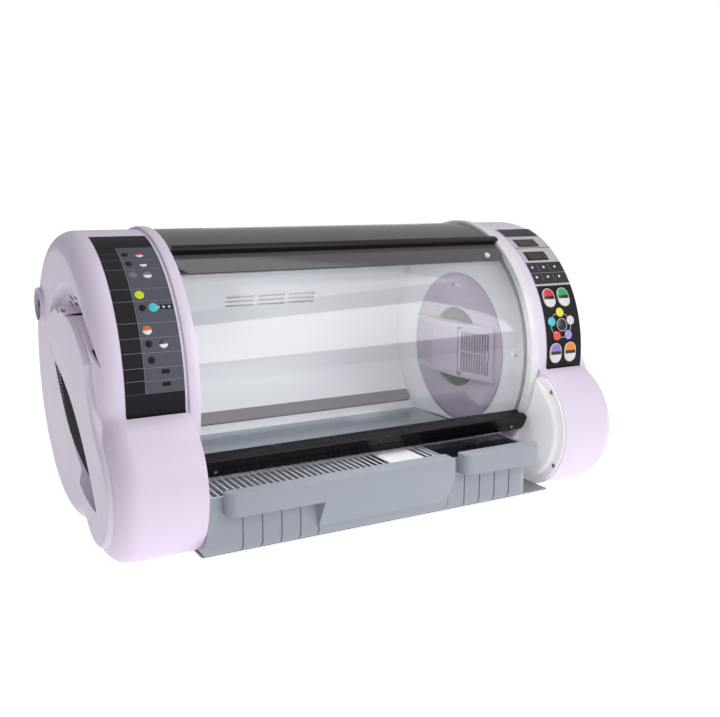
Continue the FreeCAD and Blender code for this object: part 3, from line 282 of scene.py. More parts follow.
def stadium(x, angle, width, height, face, thickness, edge):
    """Upright oval cap square on a curved panel, its outer rim bevelled; sizes in mm."""
    bpy.ops.mesh.primitive_cylinder_add(
        vertices=64, radius=width / 2 * MM, depth=thickness * MM,
        location=on_barrel(angle, (face + thickness / 2) * MM, x * MM), rotation=(math.radians(angle - 90), 0, 0))
    cap = settle(bpy.context.object)
    out = on_barrel(angle, 1) - on_barrel(angle, 0)
    up = Vector((0, out.z, -out.y))
    middle = on_barrel(angle, (face + thickness / 2) * MM)
    straight = (height - width) / 2 * MM
    for way in (1, -1):
        edit(
            cap,
            pick(cap, lambda co: (co - middle).dot(up) * way > straight / 4),
            lambda: bpy.ops.transform.translate(value=up * straight * way),
        )
    edit(
        cap,
        pick(cap, lambda co: (co - middle).dot(out) > 0),
        lambda: bpy.ops.mesh.bevel(offset=edge * MM, segments=3, affect="EDGES"),
    )
    return cap


def laid_ring(x, angle, radius, width, face):
    """Flat ring laid on a curved panel; sizes in mm."""
    bpy.ops.mesh.primitive_cylinder_add(
        vertices=256, radius=face * MM, depth=0.2, location=(x * MM, barrel_axis.y, barrel_axis.z),
        rotation=(0, math.radians(90), 0))
    former = bpy.context.object
    bpy.ops.mesh.primitive_circle_add(
        vertices=96, radius=(radius + width / 2) * MM, fill_type="NGON",
        location=on_barrel(angle, (face + 1) * MM, x * MM), rotation=(math.radians(angle - 90), 0, 0))
    ring = settle(bpy.context.object)
    edit(
        ring,
        lambda: bpy.ops.mesh.inset(thickness=width * MM),
        lambda: bpy.ops.mesh.delete(type="FACE"),
    )
    wrap = ring.modifiers.new("wrap", "SHRINKWRAP")
    wrap.target = former
    wrap.wrap_method = "NEAREST_SURFACEPOINT"
    wrap.wrap_mode = "ABOVE_SURFACE"
    wrap.offset = 0.05 * MM
    body = ring.modifiers.new("body", "SOLIDIFY")
    body.thickness = 0.15 * MM
    only(ring)
    for modifier in ("wrap", "body"):
        bpy.ops.object.modifier_apply(modifier=modifier)
    bpy.data.objects.remove(former)
    return ring


def bead_ring(x, angle, radius, thickness, face):
    """Round bead on a key's flat face; sizes in mm."""
    bpy.ops.mesh.primitive_torus_add(
        major_segments=72, minor_segments=12, major_radius=radius * MM, minor_radius=thickness / 2 * MM,
        location=on_barrel(angle, face * MM, x * MM), rotation=(math.radians(angle - 90), 0, 0))
    return settle(bpy.context.object)


def screw_head(place, out, radius, height):
    """Low pan head with a cross recess, its back on a surface; sizes in metres."""
    turn = out.to_track_quat("Z", "Y").to_euler()
    bpy.ops.mesh.primitive_cylinder_add(
        vertices=48, radius=radius, depth=height, location=place + out * height / 2, rotation=turn)
    head = settle(bpy.context.object)
    edit(
        head,
        pick(head, lambda co: (co - place).dot(out) > height * 0.9),
        lambda: bpy.ops.mesh.bevel(offset=height * 0.45, segments=3, affect="EDGES"),
    )
    for quarter in (0, 1):
        bpy.ops.mesh.primitive_cube_add(size=1, location=place + out * height)
        bar = bpy.context.object
        bar.scale = (radius * 1.2, radius * 0.24, height)
        bar.rotation_mode = "QUATERNION"
        bar.rotation_quaternion = turn.to_quaternion() @ Quaternion((0, 0, 1), math.radians(90 * quarter + 20))
        settle(bar)
        cut = head.modifiers.new("cut", "BOOLEAN")
        cut.operation = "DIFFERENCE"
        cut.object = bar
        only(head)
        bpy.ops.object.modifier_apply(modifier="cut")
        bpy.data.objects.remove(bar)
    return head


# Materials


def node(tree, kind, inputs=None, **settings):
    """One shader node; an input is a value or a socket to link."""
    made = tree.nodes.new(kind)
    for key, value in settings.items():
        setattr(made, key, value)
    for key, value in (inputs or {}).items():
        if isinstance(value, bpy.types.NodeSocket):
            tree.links.new(value, made.inputs[key])
        else:
            made.inputs[key].default_value = value
    return made


def start_material(name, **settings):
    """Material with a Principled shader whose sockets take plain values."""
    made = bpy.data.materials.new(name)
    made.use_nodes = True
    tree = made.node_tree
    shader = tree.nodes["Principled BSDF"]
    for key, value in settings.items():
        shader.inputs[key.replace("_", " ").title().replace("Ior", "IOR")].default_value = value
    return made, tree, shader


def object_noise(tree, size_mm, detail=2.0):
    """Noise whose lumps have a real size, on object coordinates."""
    place = node(tree, "ShaderNodeTexCoord").outputs["Object"]
    return node(tree, "ShaderNodeTexNoise", {"Vector": place, "Scale": 1000 / size_mm, "Detail": detail})


def tinted(tree, shader, colour, other, size_mm):
    """Colour that drifts gently between two shades over the surface."""
    drift = object_noise(tree, size_mm)
    mix = node(tree, "ShaderNodeMix", {"Factor": drift.outputs["Fac"]}, data_type="RGBA")
    mix.inputs["A"].default_value = srgb(colour)
    mix.inputs["B"].default_value = srgb(other)
    tree.links.new(mix.outputs["Result"], shader.inputs["Base Color"])
    return mix


def grained(tree, shader, grain_mm, depth, low, high):
    """Moulded grain: a fine bump, and roughness that follows a coarser noise."""
    grain = object_noise(tree, grain_mm, 3.0)
    bump = node(tree, "ShaderNodeBump", {"Height": grain.outputs["Fac"], "Strength": depth, "Distance": 0.0002})
    tree.links.new(bump.outputs["Normal"], shader.inputs["Normal"])
    wear = object_noise(tree, grain_mm * 30)
    spread = node(tree, "ShaderNodeMapRange", {"Value": wear.outputs["Fac"], "To Min": low, "To Max": high})
    tree.links.new(spread.outputs["Result"], shader.inputs["Roughness"])


def moulded_abs(name, colour, other, low, high, grain_mm=1.2, depth=0.12, mirror=0.5):
    """Injection-moulded ABS: even colour, satin skin with a fine grain, soft wide highlights."""
    made, tree, shader = start_material(name, ior=1.53)
    shader.inputs["Specular IOR Level"].default_value = mirror
    tinted(tree, shader, colour, other, 220)
    grained(tree, shader, grain_mm, depth, low, high)
    return made


def printed_film(name, colour, other):
    """Matt polyester film with printed ink: even colour, weak broad sheen."""
    return moulded_abs(name, colour, other, 0.36, 0.48, 2.0, 0.04, mirror=0.15)


def clear_sheet(name, tint, haze, haze_share, glow=0.0):
    """Thin cast acrylic: lets light and sight through, mirrors more at a slant, with a faint milky haze; glow adds
    painted light, an even emission that stands for light entering the sheet.
    """
    made, tree, shader = start_material(name, ior=1.49, roughness=0.4)
    shader.inputs["Base Color"].default_value = srgb(haze)
    # Emission is painted light: a glow standing for light that enters the sheet, off unless glow is given
    shader.inputs["Emission Color"].default_value = srgb(haze)
    shader.inputs["Emission Strength"].default_value = glow
    slant = node(tree, "ShaderNodeLayerWeight", {"Blend": 0.5})
    steep = node(tree, "ShaderNodeMath", {0: slant.outputs["Facing"], 1: 4.0}, operation="POWER")
    mirror = node(tree, "ShaderNodeMapRange", {"Value": steep.outputs[0], "To Min": 0.035, "To Max": 0.7})
    smear = object_noise(tree, 120)
    polish = node(tree, "ShaderNodeMapRange", {"Value": smear.outputs["Fac"], "To Min": 0.02, "To Max": 0.07})
    gloss = node(tree, "ShaderNodeBsdfGlossy",
                 {"Color": srgb("#FFFFFF"), "Roughness": polish.outputs["Result"]})
    clear = node(tree, "ShaderNodeBsdfTransparent", {"Color": srgb(tint)})
    milky = node(tree, "ShaderNodeMixShader", {0: haze_share, 1: clear.outputs[0], 2: shader.outputs[0]})
    skin = node(tree, "ShaderNodeMixShader",
                {0: mirror.outputs["Result"], 1: milky.outputs[0], 2: gloss.outputs[0]})
    out = tree.nodes["Material Output"]
    tree.links.new(skin.outputs[0], out.inputs["Surface"])
    return made


def brushed_steel(name, colour):
    """Brushed stainless steel: fine lines along X that stretch the highlights."""
    made, tree, shader = start_material(name, metallic=1.0, roughness=0.3)
    place = node(tree, "ShaderNodeTexCoord").outputs["Object"]
    stretched = node(tree, "ShaderNodeMapping", {"Vector": place, "Scale": (20, 1200, 1200)})
    lines = node(tree, "ShaderNodeTexNoise", {"Vector": stretched.outputs["Vector"], "Scale": 1.0})
    mix = node(tree, "ShaderNodeMix", {"Factor": lines.outputs["Fac"]}, data_type="RGBA")
    mix.inputs["A"].default_value = srgb(colour)
    mix.inputs["B"].default_value = srgb("#C9CACC")
    tree.links.new(mix.outputs["Result"], shader.inputs["Base Color"])
    spread = node(tree, "ShaderNodeMapRange", {"Value": lines.outputs["Fac"], "To Min": 0.22, "To Max": 0.4})
    tree.links.new(spread.outputs["Result"], shader.inputs["Roughness"])
    return made


def rubber(name, colour):
    """Moulded rubber: dark, matt and slightly dusty."""
    made, tree, shader = start_material(name, ior=1.5)
    tinted(tree, shader, colour, "#4A4A4C", 14)
    grained(tree, shader, 0.8, 0.3, 0.7, 0.85)
    return made


def banded_face(name, middle, angle, length, bands, rim=None):
    """Moulded cap with a printed face: plain bands of colour from the low end up, glossy, and a pale rim."""
    made, tree, shader = start_material(name, ior=1.53, roughness=0.28)
    a = math.radians(angle)
    up = Vector((0, math.sin(a), -math.cos(a)))
    place = node(tree, "ShaderNodeTexCoord").outputs["Object"]
    moved = node(tree, "ShaderNodeVectorMath", {0: place, 1: middle}, operation="SUBTRACT")
    rise = node(tree, "ShaderNodeVectorMath", {0: moved.outputs[0], 1: up}, operation="DOT_PRODUCT")
    share = node(tree, "ShaderNodeMapRange",
                 {"Value": rise.outputs["Value"], "From Min": -length, "From Max": length})
    ramp = node(tree, "ShaderNodeValToRGB", {"Fac": share.outputs["Result"]})
    ramp.color_ramp.interpolation = "CONSTANT"
    ramp.color_ramp.elements[0].color = srgb(bands[0][1])
    ramp.color_ramp.elements[1].position = bands[1][0]
    ramp.color_ramp.elements[1].color = srgb(bands[1][1])
    for position, colour in bands[2:]:
        ramp.color_ramp.elements.new(position).color = srgb(colour)
    face = ramp.outputs["Color"]
    if rim:
        half_width, straight = rim
        clamped = node(tree, "ShaderNodeClamp",
                       {"Value": rise.outputs["Value"], "Min": -straight, "Max": straight})
        spine = node(tree, "ShaderNodeVectorMath", {0: up, "Scale": clamped.outputs[0]}, operation="SCALE")
        off = node(tree, "ShaderNodeVectorMath", {0: moved.outputs[0], 1: spine.outputs[0]}, operation="SUBTRACT")
        out = Vector((0, math.cos(a), math.sin(a)))
        flat = node(tree, "ShaderNodeVectorMath", {0: off.outputs[0], 1: out}, operation="CROSS_PRODUCT")
        far = node(tree, "ShaderNodeVectorMath", {0: flat.outputs[0]}, operation="LENGTH")
        edge = node(tree, "ShaderNodeMath", {0: far.outputs["Value"], 1: half_width - 1.5 * MM},
                    operation="GREATER_THAN")
        mix = node(tree, "ShaderNodeMix", {"Factor": edge.outputs[0], "A": face}, data_type="RGBA")
        mix.inputs["B"].default_value = srgb("#D8D6D9")
        face = mix.outputs["Result"]
    tree.links.new(face, shader.inputs["Base Color"])
    return made


LILAC_ABS = moulded_abs("lilac_abs", "#EADDF1", "#E3D6EB", 0.3, 0.42)
WHITE_ABS = moulded_abs("white_abs", "#ECEAEE", "#E4E2E7", 0.22, 0.34)
LINER_ABS = moulded_abs("liner_abs", "#E4E3E6", "#DBDADD", 0.18, 0.3)
DRAWER_ABS = moulded_abs("drawer_abs", "#989FA8", "#9FA5AE", 0.3, 0.44)
BLACK_ABS = moulded_abs("black_abs", "#121116", "#17161B", 0.2, 0.32, mirror=0.22)
GREY_ABS = moulded_abs("grey_abs", "#6C686C", "#625E63", 0.35, 0.5)
DUCT_ABS = moulded_abs("duct_abs", "#232126", "#1E1C20", 0.4, 0.55, mirror=0.2)
UNIT_ABS = moulded_abs("unit_abs", "#A898AB", "#B2A3B4", 0.35, 0.5)
FLOOR_ENAMEL = moulded_abs("floor_enamel", "#8C959B", "#838D94", 0.12, 0.22)
BASE_COAT = moulded_abs("base_powder_coat", "#8F959C", "#989EA4", 0.5, 0.65, 0.8, 0.3)
WIRE_COAT = moulded_abs("wire_coat", "#E8E8EA", "#DEDEE1", 0.3, 0.42)
PANEL_FILM = moulded_abs("panel_film", "#C8C2C7", "#BFB9BE", 0.3, 0.4)
KEYPAD_FILM = printed_film("keypad_film", "#1B191D", "#201E23")
LAMP_FILM = printed_film("lamp_film", "#3A363B", "#403C41")
LABEL_LINES = printed_film("label_lines", "#9E9DA6", "#96959E")
LABEL_DARK = printed_film("label_dark", "#1E1B22", "#1A181E")
LABEL_GREY = printed_film("label_grey", "#5A5C66", "#525460")
STRIP_FILM = printed_film("strip_film", "#454247", "#3E3B40")
DIGIT_PANE = moulded_abs("digit_pane", "#463E3C", "#3E3634", 0.1, 0.18)
PRINT_WHITE = printed_film("print_white", "#E6E5E8", "#E2E1E4")
DISPLAY_WINDOW = moulded_abs("display_window", "#1C1415", "#241A1A", 0.08, 0.14)
SMOKED_ACRYLIC = moulded_abs("smoked_acrylic", "#585356", "#615C5F", 0.08, 0.14, 4.0, 0.02)
BOARD_LAMINATE = moulded_abs("board_laminate", "#1F5A38", "#1A4F31", 0.35, 0.5)
MOTOR_CASTING = brushed_steel("motor_casting", "#9C9DA0")
STEEL = brushed_steel("brushed_stainless", "#B0B1B4")
DOOR_ACRYLIC = clear_sheet("door_acrylic", "#F8F9FA", "#F2F2F4", 0.02)
# The cheek glows with emission 0.22: painted light standing for light passing into the milky acrylic
CHEEK_ACRYLIC_PAINTED_GLOW = clear_sheet("cheek_acrylic_painted_glow", "#F4F2F5", "#F4F1F4", 0.78, 0.22)
# Dark sheet in the left finger slot is painted shade, standing for the shadow deep in the slot
SLOT_SHADE_PAINT = rubber("slot_painted_shade", "#3A383C")
FOOT_RUBBER = rubber("foot_rubber", "#2B2B2D")
# The port's grey is partly its rubber and partly painted shade, standing for the shadow inside the hole
PORT_RUBBER_AND_SHADE = rubber("port_rubber_and_shade", "#8A8A8E")

node_paints = {
    "left_housing": LILAC_ABS,
    "right_housing": LILAC_ABS,
    "left_side_panel": WHITE_ABS,
    "right_side_panel": WHITE_ABS,
    "left_ring": LILAC_ABS,
    "right_ring": WHITE_ABS,
    "top_cover": SMOKED_ACRYLIC,
    "rear_shell": WHITE_ABS,
    "rear_liner": LINER_ABS,
    "top_rail": BLACK_ABS,
    "door_sheet": DOOR_ACRYLIC,
    "door_rail": BLACK_ABS,
    "door_rail_pins": STEEL,
    "front_sill": DOOR_ACRYLIC,
    "rear_rail": GREY_ABS,
    "chamber_floor": FLOOR_ENAMEL,
    "base_frame": BASE_COAT,
    "waste_drawer": DRAWER_ABS,
    "wire_rack": WIRE_COAT,
    "tank_drawer": DRAWER_ABS,
    # The tank lid is black to stand for the shade in the gap behind the right grip: painted shade
    "tank_lid": BLACK_ABS,
    "left_end_wall": LINER_ABS,
    "right_end_wall": LINER_ABS,
    "circulation_cover": UNIT_ABS,
    "filter_grille": UNIT_ABS,
    "grille_latch": UNIT_ABS,
    "grille_hinge_pin": STEEL,
    "fan_shroud": DUCT_ABS,
    "fan_rotor": DUCT_ABS,
    "fan_motor": MOTOR_CASTING,
    "motor_bracket": STEEL,
    "heater": STEEL,
    "control_panel": PANEL_FILM,
    "upper_display": DISPLAY_WINDOW,
    "lower_display": DISPLAY_WINDOW,
    "indicator_block": LAMP_FILM,
    "keypad": KEYPAD_FILM,
    "instruction_panel": LABEL_LINES,
    "cover_cap": WHITE_ABS,
    "wall_knob": WHITE_ABS,
    "side_port": PORT_RUBBER_AND_SHADE,
    "lobe_cheek": CHEEK_ACRYLIC_PAINTED_GLOW,
    "cheek_screws": STEEL,
    "feet": FOOT_RUBBER,
    "power_inlet": BLACK_ABS,
    "power_switch": BLACK_ABS,
    "control_board": BOARD_LAMINATE,
}
key_colours = {
    "key_yellow": "#E9E04A",
    "key_cyan": "#4FC0D6",
    "key_white": "#DCD5DC",
    "key_pink": "#E8575A",
    "key_purple": "#A79BD8",
    "key_dial": "#2C2B31",
}
oval_colours = {"key_red": "#DE3340", "key_green": "#2FA562", "key_violet": "#8C7CC4", "key_orange": "#EE8A2C"}


def key_angle(name):
    """Angle about the barrel axis that a key's face looks along."""
    press = Vector(joints[name + "_press"]["axis"])
    return math.degrees(math.atan2(-press.z, -press.y))


def paint_nodes():
    """Give every CAD node its material and smooth its round faces."""
    for name, colour in key_colours.items():
        node_paints[name] = moulded_abs(name + "_abs", colour, colour, 0.2, 0.3)
    for name, colour in oval_colours.items():
        low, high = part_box(name)
        bands = ((0.0, "#DEDCDE"), (0.42, "#17161B"), (0.585, colour))
        node_paints[name] = banded_face(name + "_abs", (low + high) / 2, key_angle(name), oval_height / 2 * MM,
                                        bands, (oval_width / 2 * MM, (oval_height - oval_width) / 2 * MM))
    for name, paint in node_paints.items():
        mesh = nodes[name].data
        mesh.materials.clear()
        mesh.materials.append(paint)
        mesh.polygons.foreach_set("use_smooth", [True] * len(mesh.polygons))
        weld = nodes[name].modifiers.new("weld", "WELD")
        weld.merge_threshold = 1e-6
        split = nodes[name].modifiers.new("edges", "EDGE_SPLIT")
        split.split_angle = math.radians(28)


# Printed and fitted details


def label_cells():
    """Header, footer and two columns of plain cells; the base film between them makes the thin lines."""
    gap = math.degrees(label_line / label_face) / 2
    strips = [curved_plate(label_left * MM, label_right * MM, top, low, label_face * MM, label_film * MM)
              for top, low in (header_angles, footer_angles)]
    for top, low in zip(left_rows, left_rows[1:]):
        strips.append(curved_plate(label_left * MM, (label_split - label_line / 2) * MM, top + gap, low - gap,
                                   label_face * MM, label_film * MM))
    finished(joined("label_titles", strips), "label_titles", "cabinet", "label_film", LABEL_DARK)
    cells = [curved_plate((label_split + label_line / 2) * MM, label_right * MM, top + gap, low - gap,
                          label_face * MM, label_film * MM)
             for top, low in zip(right_rows, right_rows[1:])]
    finished(joined("label_rows", cells), "label_rows", "cabinet", "label_film", LABEL_GREY)


def label_marks():
    """Plain round marks on the label's rows, one sort of colour to an object."""
    face = label_face + label_film
    for name, size, colour, places in label_discs:
        marks = [disc(x, angle, size, face, 2 * label_film, label_film / 2) for x, angle in places]
        piece = joined("label_marks_" + name, marks)
        finished(piece, piece.name, "cabinet", "label_film", printed(colour))
    for name, x, angle, size, lower, upper in label_halves:
        mark = disc(x, angle, size, face, 2 * label_film, label_film / 2)
        paint = banded_face(name + "_print", on_barrel(angle, face * MM, x * MM), angle, size * MM,
                            ((0.0, lower), (0.46, upper)))
        finished(mark, "label_mark_" + name, "cabinet", "label_film", paint)
    bars = [curved_plate(left * MM, right * MM, top, low, face * MM, label_film * MM)
            for left, right, top, low in label_bars]
    finished(joined("label_bars", bars), "label_bars", "cabinet", "label_film", LABEL_DARK)


def printed(colour):
    """Screen-printed ink: flat colour with the film's soft sheen."""
    return printed_film("ink_" + colour[1:].lower(), colour, colour)


def panel_films():
    """Bare dark strip and dividing line of the control panel, panes of its two displays."""
    film("panel_strip", *panel_strip, panel_face, "label_film", STRIP_FILM)
    film("panel_line", panel_left, panel_right, *panel_line, panel_face, "label_film", STRIP_FILM)
    for name, (top, low) in displays.items():
        pane = film(name + "_pane", display_left + 6, display_left + 38, top + 1.0, low - 0.9, block_face,
                    "display_glass", DIGIT_PANE)
        dots = [disc(display_left + 43, top + share * (low - top), 1.5, block_face, 0.2, 0.08)
                for share in (0.32, 0.68)]
        finished(joined(name + "_dots", dots), name + "_dots", "cabinet", "display_glass", printed("#8C7F79"))


def signal_lamps():
    """Six round white lamps in two rows, and the thin pale lines that part them."""
    lamps = [disc(x, angle, lamp_radius, block_face, 0.6, 0.3) for angle in lamp_angles for x in lamp_columns]
    finished(joined("signal_lamps", lamps), "signal_lamps", "cabinet", "white_plastic", PRINT_WHITE)
    middle = sum(lamp_angles) / 2 + 0.45
    lines = [curved_plate(panel_left * MM, panel_right * MM, middle - 0.1, middle + 0.1, block_face * MM,
                          label_film * MM)]
    for left, right in zip(lamp_columns, lamp_columns[1:]):
        x = (left + right) / 2
        for angle in lamp_angles:
            lines.append(curved_plate((x - 0.3) * MM, (x + 0.3) * MM, angle - 1.6, angle + 2.2, block_face * MM,
                                      label_film * MM))
    finished(joined("lamp_lines", lines), "lamp_lines", "cabinet", "label_film", LABEL_LINES)


def key_caps():
    """Caps of the keys, a little wider than the stems that they sit on."""
    thickness = cap_face - cap_low
    for name in key_colours:
        low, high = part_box(name)
        radius = dial_cap if name == "key_dial" else round_cap
        cap = disc((low.x + high.x) / 2 / MM, key_angle(name), radius, cap_low, thickness, 0.6)
        slot = "black_plastic" if name == "key_dial" else name
        finished(cap, name + "_cap", "push_" + name, slot, node_paints[name])
    for name in oval_colours:
        low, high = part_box(name)
        cap = stadium((low.x + high.x) / 2 / MM, key_angle(name), oval_width, oval_height, cap_low, thickness, 0.7)
        finished(cap, name + "_cap", "push_" + name, name, node_paints[name])


def keypad_rings():
    """Printed ring that links the five round keys, and the dial's raised pale bead."""
    ring = laid_ring(dial_x, dial_angle, dial_ring_radius, 0.9, keypad_face)
    finished(ring, "keypad_ring", "cabinet", "white_plastic", PRINT_WHITE)
    bead = bead_ring(dial_x, dial_angle, dial_bead_radius, 0.9, cap_face)
    finished(bead, "dial_bead", "push_key_dial", "white_plastic", PRINT_WHITE)


def top_rail():
    """Slim rail on the cover's front edge: a slab with a rounded end over the ring, on a web."""
    top, low = rail_angles
    slab = curved_plate(rail_left * MM, rail_right * MM, top, low, rail_under * MM, rail_slab * MM)
    middle = (top + low) / 2
    edit(
        slab,
        pick(slab, lambda co: co.x > rail_right * MM - 1e-5 and abs(angle_of(co) - middle) > (low - top) * 0.4),
        lambda: bpy.ops.mesh.bevel(offset=rail_corner * MM, segments=8, affect="EDGES"),
    )
    edge = slab.modifiers.new("edge", "BEVEL")
    edge.width = rail_edge * MM
    edge.segments = 3
    edge.limit_method = "ANGLE"
    edge.angle_limit = math.radians(50)
    only(slab)
    bpy.ops.object.modifier_apply(modifier="edge")
    web = curved_plate(rail_left * MM, (rail_right - rail_web_back) * MM, top + 0.1, low - 0.1, cover_radius * MM,
                       (rail_under + 1 - cover_radius) * MM)
    finished(joined("slim_rail", [slab, web]), "slim_rail", "cabinet", "black_plastic", BLACK_ABS, "top_rail")


def angle_of(co):
    """Angle of a point about the barrel axis, in degrees."""
    return math.degrees(math.atan2(co.z - barrel_axis.z, co.y - barrel_axis.y)) % 360


def drum(left, right, y, z, radius, far_radius=None):
    """Round or tapered solid along X; sizes in metres."""
    bpy.ops.mesh.primitive_cone_add(
        vertices=180, radius1=radius, radius2=radius if far_radius is None else far_radius, depth=right - left,
        location=((left + right) / 2, y, z), rotation=(0, math.radians(90), 0))
    return settle(bpy.context.object)


def combine(piece, other, how):
    """Union or difference with another solid, which goes."""
    step = piece.modifiers.new("step", "BOOLEAN")
    step.operation = how
    step.object = other
    only(piece)
    bpy.ops.object.modifier_apply(modifier="step")
    bpy.data.objects.remove(other)


def rim_bevel(piece, x, width):
    """Round the outer rim of a drum on its side towards -X; sizes in metres."""
    edit(
        piece,
        pick(piece, lambda co: co.x < x + 1e-6),
        lambda: bpy.ops.mesh.bevel(offset=width, segments=5, affect="EDGES"),
    )


def cheek():
    """Milky cheek on the right lobe's flank: flange and raised face, cut round beside the ring and flat on top."""
    low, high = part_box("lobe_cheek")
    y = low.y + cheek_flange_radius * MM
    z = low.z + cheek_flange_radius * MM
    right = high.x
    flange_left = right - cheek_flange * MM
    boss_left = right - cheek_boss_height * MM
    body = drum(flange_left, right, y, z, cheek_flange_radius * MM)
    rim_bevel(body, flange_left, cheek_flange_edge * MM)
    boss = drum(boss_left, flange_left + MM, y, z, cheek_boss_radius * MM)
    rim_bevel(boss, boss_left, cheek_boss_edge * MM)
    combine(body, boss, "UNION")
    room = cheek_room * MM
    width, depth = (size * MM for size in cheek_bevel)
    combine(body, drum(boss_left - 0.02, right + 0.02, barrel_axis.y, barrel_axis.z, room), "DIFFERENCE")
    taper = drum(boss_left - depth * 0.2, boss_left + depth, barrel_axis.y, barrel_axis.z,
                 room + width * 1.2, room)
    combine(body, taper, "DIFFERENCE")
    bpy.ops.mesh.primitive_cube_add(size=1, location=(right, y, z + cheek_top * MM + 0.1))
    block = bpy.context.object
    block.scale = (0.2, 1, 0.2)
    combine(body, settle(block), "DIFFERENCE")
    finished(body, "cheek", "cabinet", "clear_acrylic", CHEEK_ACRYLIC_PAINTED_GLOW, "lobe_cheek")


def slot_point(along, across, depth):
    """Point in the left finger slot's own frame: down along it, across towards the pod, in from the end."""
    first = Vector((0, -slot_first[0], slot_first[1]))
    last = Vector((0, -slot_last[0], slot_last[1]))
    down = (last - first).normalized()
    over = Vector((0, down.z, -down.y))
    flat = Vector((0, barrel_axis.y, barrel_axis.z)) + (first + down * along + over * across) * MM
    return Vector(((depth - half_length) * MM, flat.y, flat.z)), down


def big_drum(place, radius):
    """Large round cutter that lies along X; sizes in mm, place in metres."""
    bpy.ops.mesh.primitive_cylinder_add(vertices=720, radius=radius * MM, depth=drum_depth * MM, location=place,
                                        rotation=(0, math.radians(90), 0))
    return settle(bpy.context.object)


def keep_common(piece, cutter):
    """Keep only what lies inside a cutter, and remove the cutter."""
    cut = piece.modifiers.new("common", "BOOLEAN")
    cut.operation = "INTERSECT"
    cut.object = cutter
    only(piece)
    bpy.ops.object.modifier_apply(modifier="common")
    bpy.data.objects.remove(cutter)


def painted_slot_shade():
    """Dark sheet on the sloping floor of the left finger slot, laid onto the moulded shell: painted shade,
    standing for the shadow deep in the slot.
    """
    place, down = slot_point(slot_length / 2, -shade_sheet_shift, -shade_sheet_start)
    bpy.ops.mesh.primitive_grid_add(x_subdivisions=110, y_subdivisions=40, size=1, location=place)
    pad = bpy.context.object
    pad.scale = (slot_length * 1.02 * MM, shade_sheet_width * MM, 1)
    pad.rotation_mode = "QUATERNION"
    over = Vector((0, down.z, -down.y))
    pad.rotation_quaternion = Matrix((down, over, down.cross(over))).transposed().to_quaternion()
    settle(pad)
    wrap = pad.modifiers.new("wrap", "SHRINKWRAP")
    wrap.target = nodes["left_housing"]
    wrap.wrap_method = "PROJECT"
    wrap.use_project_x = True
    wrap.use_negative_direction = False
    wrap.use_positive_direction = True
    wrap.offset = 0.0
    body = pad.modifiers.new("body", "SOLIDIFY")
    body.thickness = shade_sheet_thickness * MM
    body.offset = 0.0
    only(pad)
    for modifier in ("wrap", "body"):
        bpy.ops.object.modifier_apply(modifier=modifier)
    edit(pad, lambda: bpy.ops.mesh.normals_make_consistent(inside=False))
    far = slot_far
    radius = ((slot_length / 2) ** 2 + far ** 2) / (2 * far)
    centre, down = slot_point(slot_length / 2, radius - far, drum_depth / 2 + shade_sheet_sunk)
    keep_common(pad, big_drum(centre, radius))
    radius = ((slot_length / 2) ** 2 + slot_near ** 2) / (2 * slot_near)
    centre, down = slot_point(slot_length / 2, slot_near - radius, drum_depth / 2 + shade_sheet_sunk)
    keep_common(pad, big_drum(centre, radius))
    finished(pad, "left_slot_painted_shade", "cabinet", "grey_plastic", SLOT_SHADE_PAINT)


def screws():
    """Pan heads on the door rail and on the cheek's flange, in place of the plain ones."""
    low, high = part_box("door_rail_pins")
    middle = (low + high) / 2
    out = Vector((0, middle.y - barrel_axis.y, middle.z - barrel_axis.z)).normalized()
    back = Vector((0, barrel_axis.y, barrel_axis.z)) + out * rail_radius * MM
    heads = [screw_head(Vector((x, back.y, back.z)), out, pin_radius * MM, pin_height * MM)
             for x in (low.x + pin_radius * MM, high.x - pin_radius * MM)]
    finished(joined("rail_screws", heads), "rail_screws", "door", "steel", STEEL, "door_rail_pins")
    low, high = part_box("cheek_screws")
    radius = cheek_screw_radius * MM
    heads = [screw_head(Vector((high.x, y, z)), Vector((-1, 0, 0)), radius, high.x - low.x)
             for y, z in ((high.y - radius, high.z - radius), (low.y + radius, low.z + radius))]
    finished(joined("flange_screws", heads), "flange_screws", "cabinet", "steel", STEEL, "cheek_screws")


# Stage, light and camera


def lamp(name, place, target, size, power, colour="#FFFFFF", hidden=False):
    """Soft square lamp that looks at a point; a hidden one leaves no picture of itself."""
    data = bpy.data.lights.new(name, "AREA")
    data.size = size
    data.energy = power
    data.color = srgb(colour)[:3]
    made = bpy.data.objects.new(name, data)
    made.location = place
    made.rotation_euler = (Vector(target) - Vector(place)).to_track_quat("-Z", "Y").to_euler()
    made.visible_camera = False
    made.visible_glossy = not hidden
    made.visible_transmission = not hidden
    bpy.context.collection.objects.link(made)


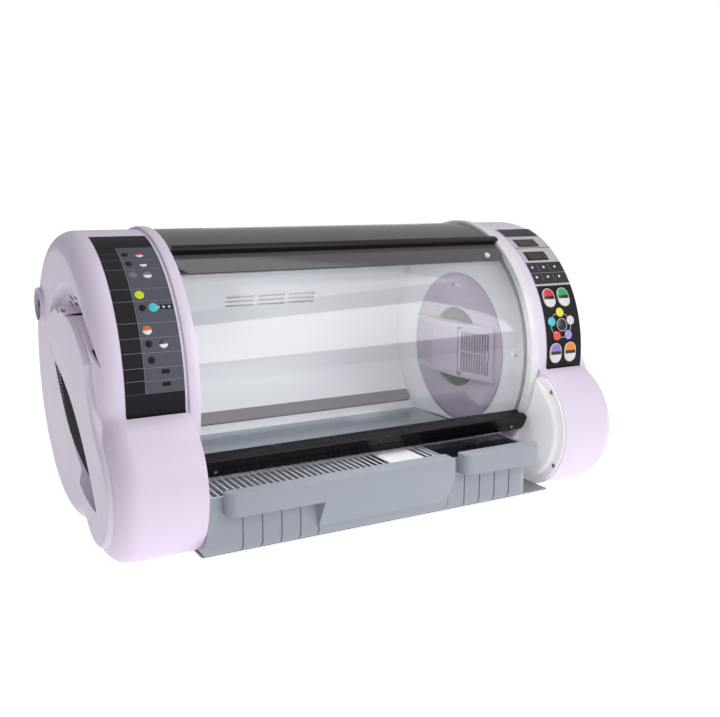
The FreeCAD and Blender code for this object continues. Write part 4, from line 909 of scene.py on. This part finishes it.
def pale_floor():
    """Plain floor, white to the eye, that still takes the object's shadow."""
    bpy.ops.mesh.primitive_plane_add(size=30, location=(0, 0, 0))
    floor = bpy.context.object
    floor.name = "floor"
    made, tree, shader = start_material("floor_paint", roughness=0.9)
    shader.inputs["Base Color"].default_value = srgb("#F6F5F7")
    shader.inputs["Specular IOR Level"].default_value = 0.1
    shader.inputs["Emission Color"].default_value = srgb("#FFFFFF")
    seen = node(tree, "ShaderNodeLightPath").outputs["Is Camera Ray"]
    glow = node(tree, "ShaderNodeMix", {0: seen, 2: floor_glow, 3: floor_white})
    tree.links.new(glow.outputs[0], shader.inputs["Emission Strength"])
    floor.data.materials.append(made)


def white_world():
    """White to the camera and in glass, softer as a light and in gloss, and dimmer towards -X."""
    world = bpy.data.worlds.new("studio")
    bpy.context.scene.world = world
    world.use_nodes = True
    tree = world.node_tree
    tree.nodes.clear()
    path = node(tree, "ShaderNodeLightPath")
    seen = node(tree, "ShaderNodeMath", {0: path.outputs["Is Camera Ray"], 1: path.outputs["Is Transmission Ray"]},
                operation="MAXIMUM")
    way = node(tree, "ShaderNodeTexCoord").outputs["Generated"]
    across = node(tree, "ShaderNodeSeparateXYZ", {0: way}).outputs["X"]
    side = node(tree, "ShaderNodeMapRange", {"Value": across, "From Min": -1.0, "From Max": 0.6,
                                             "To Min": world_left, "To Max": world_right})
    bright = node(tree, "ShaderNodeMix", {0: seen.outputs[0], 2: side.outputs["Result"], 3: 1.0})
    light = node(tree, "ShaderNodeBackground", {"Color": srgb("#FFFFFF"), "Strength": bright.outputs[0]})
    out = node(tree, "ShaderNodeOutputWorld")
    tree.links.new(light.outputs["Background"], out.inputs["Surface"])


def camera():
    data = bpy.data.cameras.new("camera")
    data.sensor_width = sensor_width
    data.lens = focal_pixels / image_width * sensor_width
    made = bpy.data.objects.new("camera", data)
    made.location = camera_place
    made.rotation_euler = (math.radians(90 - camera_pitch), 0, math.radians(-camera_yaw))
    bpy.context.collection.objects.link(made)
    bpy.context.scene.camera = made


deselect()
camera()
pale_floor()
white_world()
lamp("front_light", (1.2, -2.4, 1.6), (0, 0, 0.25), 1.6, 27)
lamp("top_light", (0.3, -0.5, 2.6), (0, 0, 0.25), 2.0, 14)
lamp("chamber_light", (0.0, -0.06, 0.42), (0.0, 0.12, 0.1), 0.42, 2.2, hidden=True)
paint_nodes()
label_cells()
label_marks()
panel_films()
signal_lamps()
key_caps()
keypad_rings()
top_rail()
cheek()
screws()
# Painted shade: a dark sheet where the left finger slot lies in shadow
painted_slot_shade()

bpy.context.scene.view_settings.view_transform = "Standard"
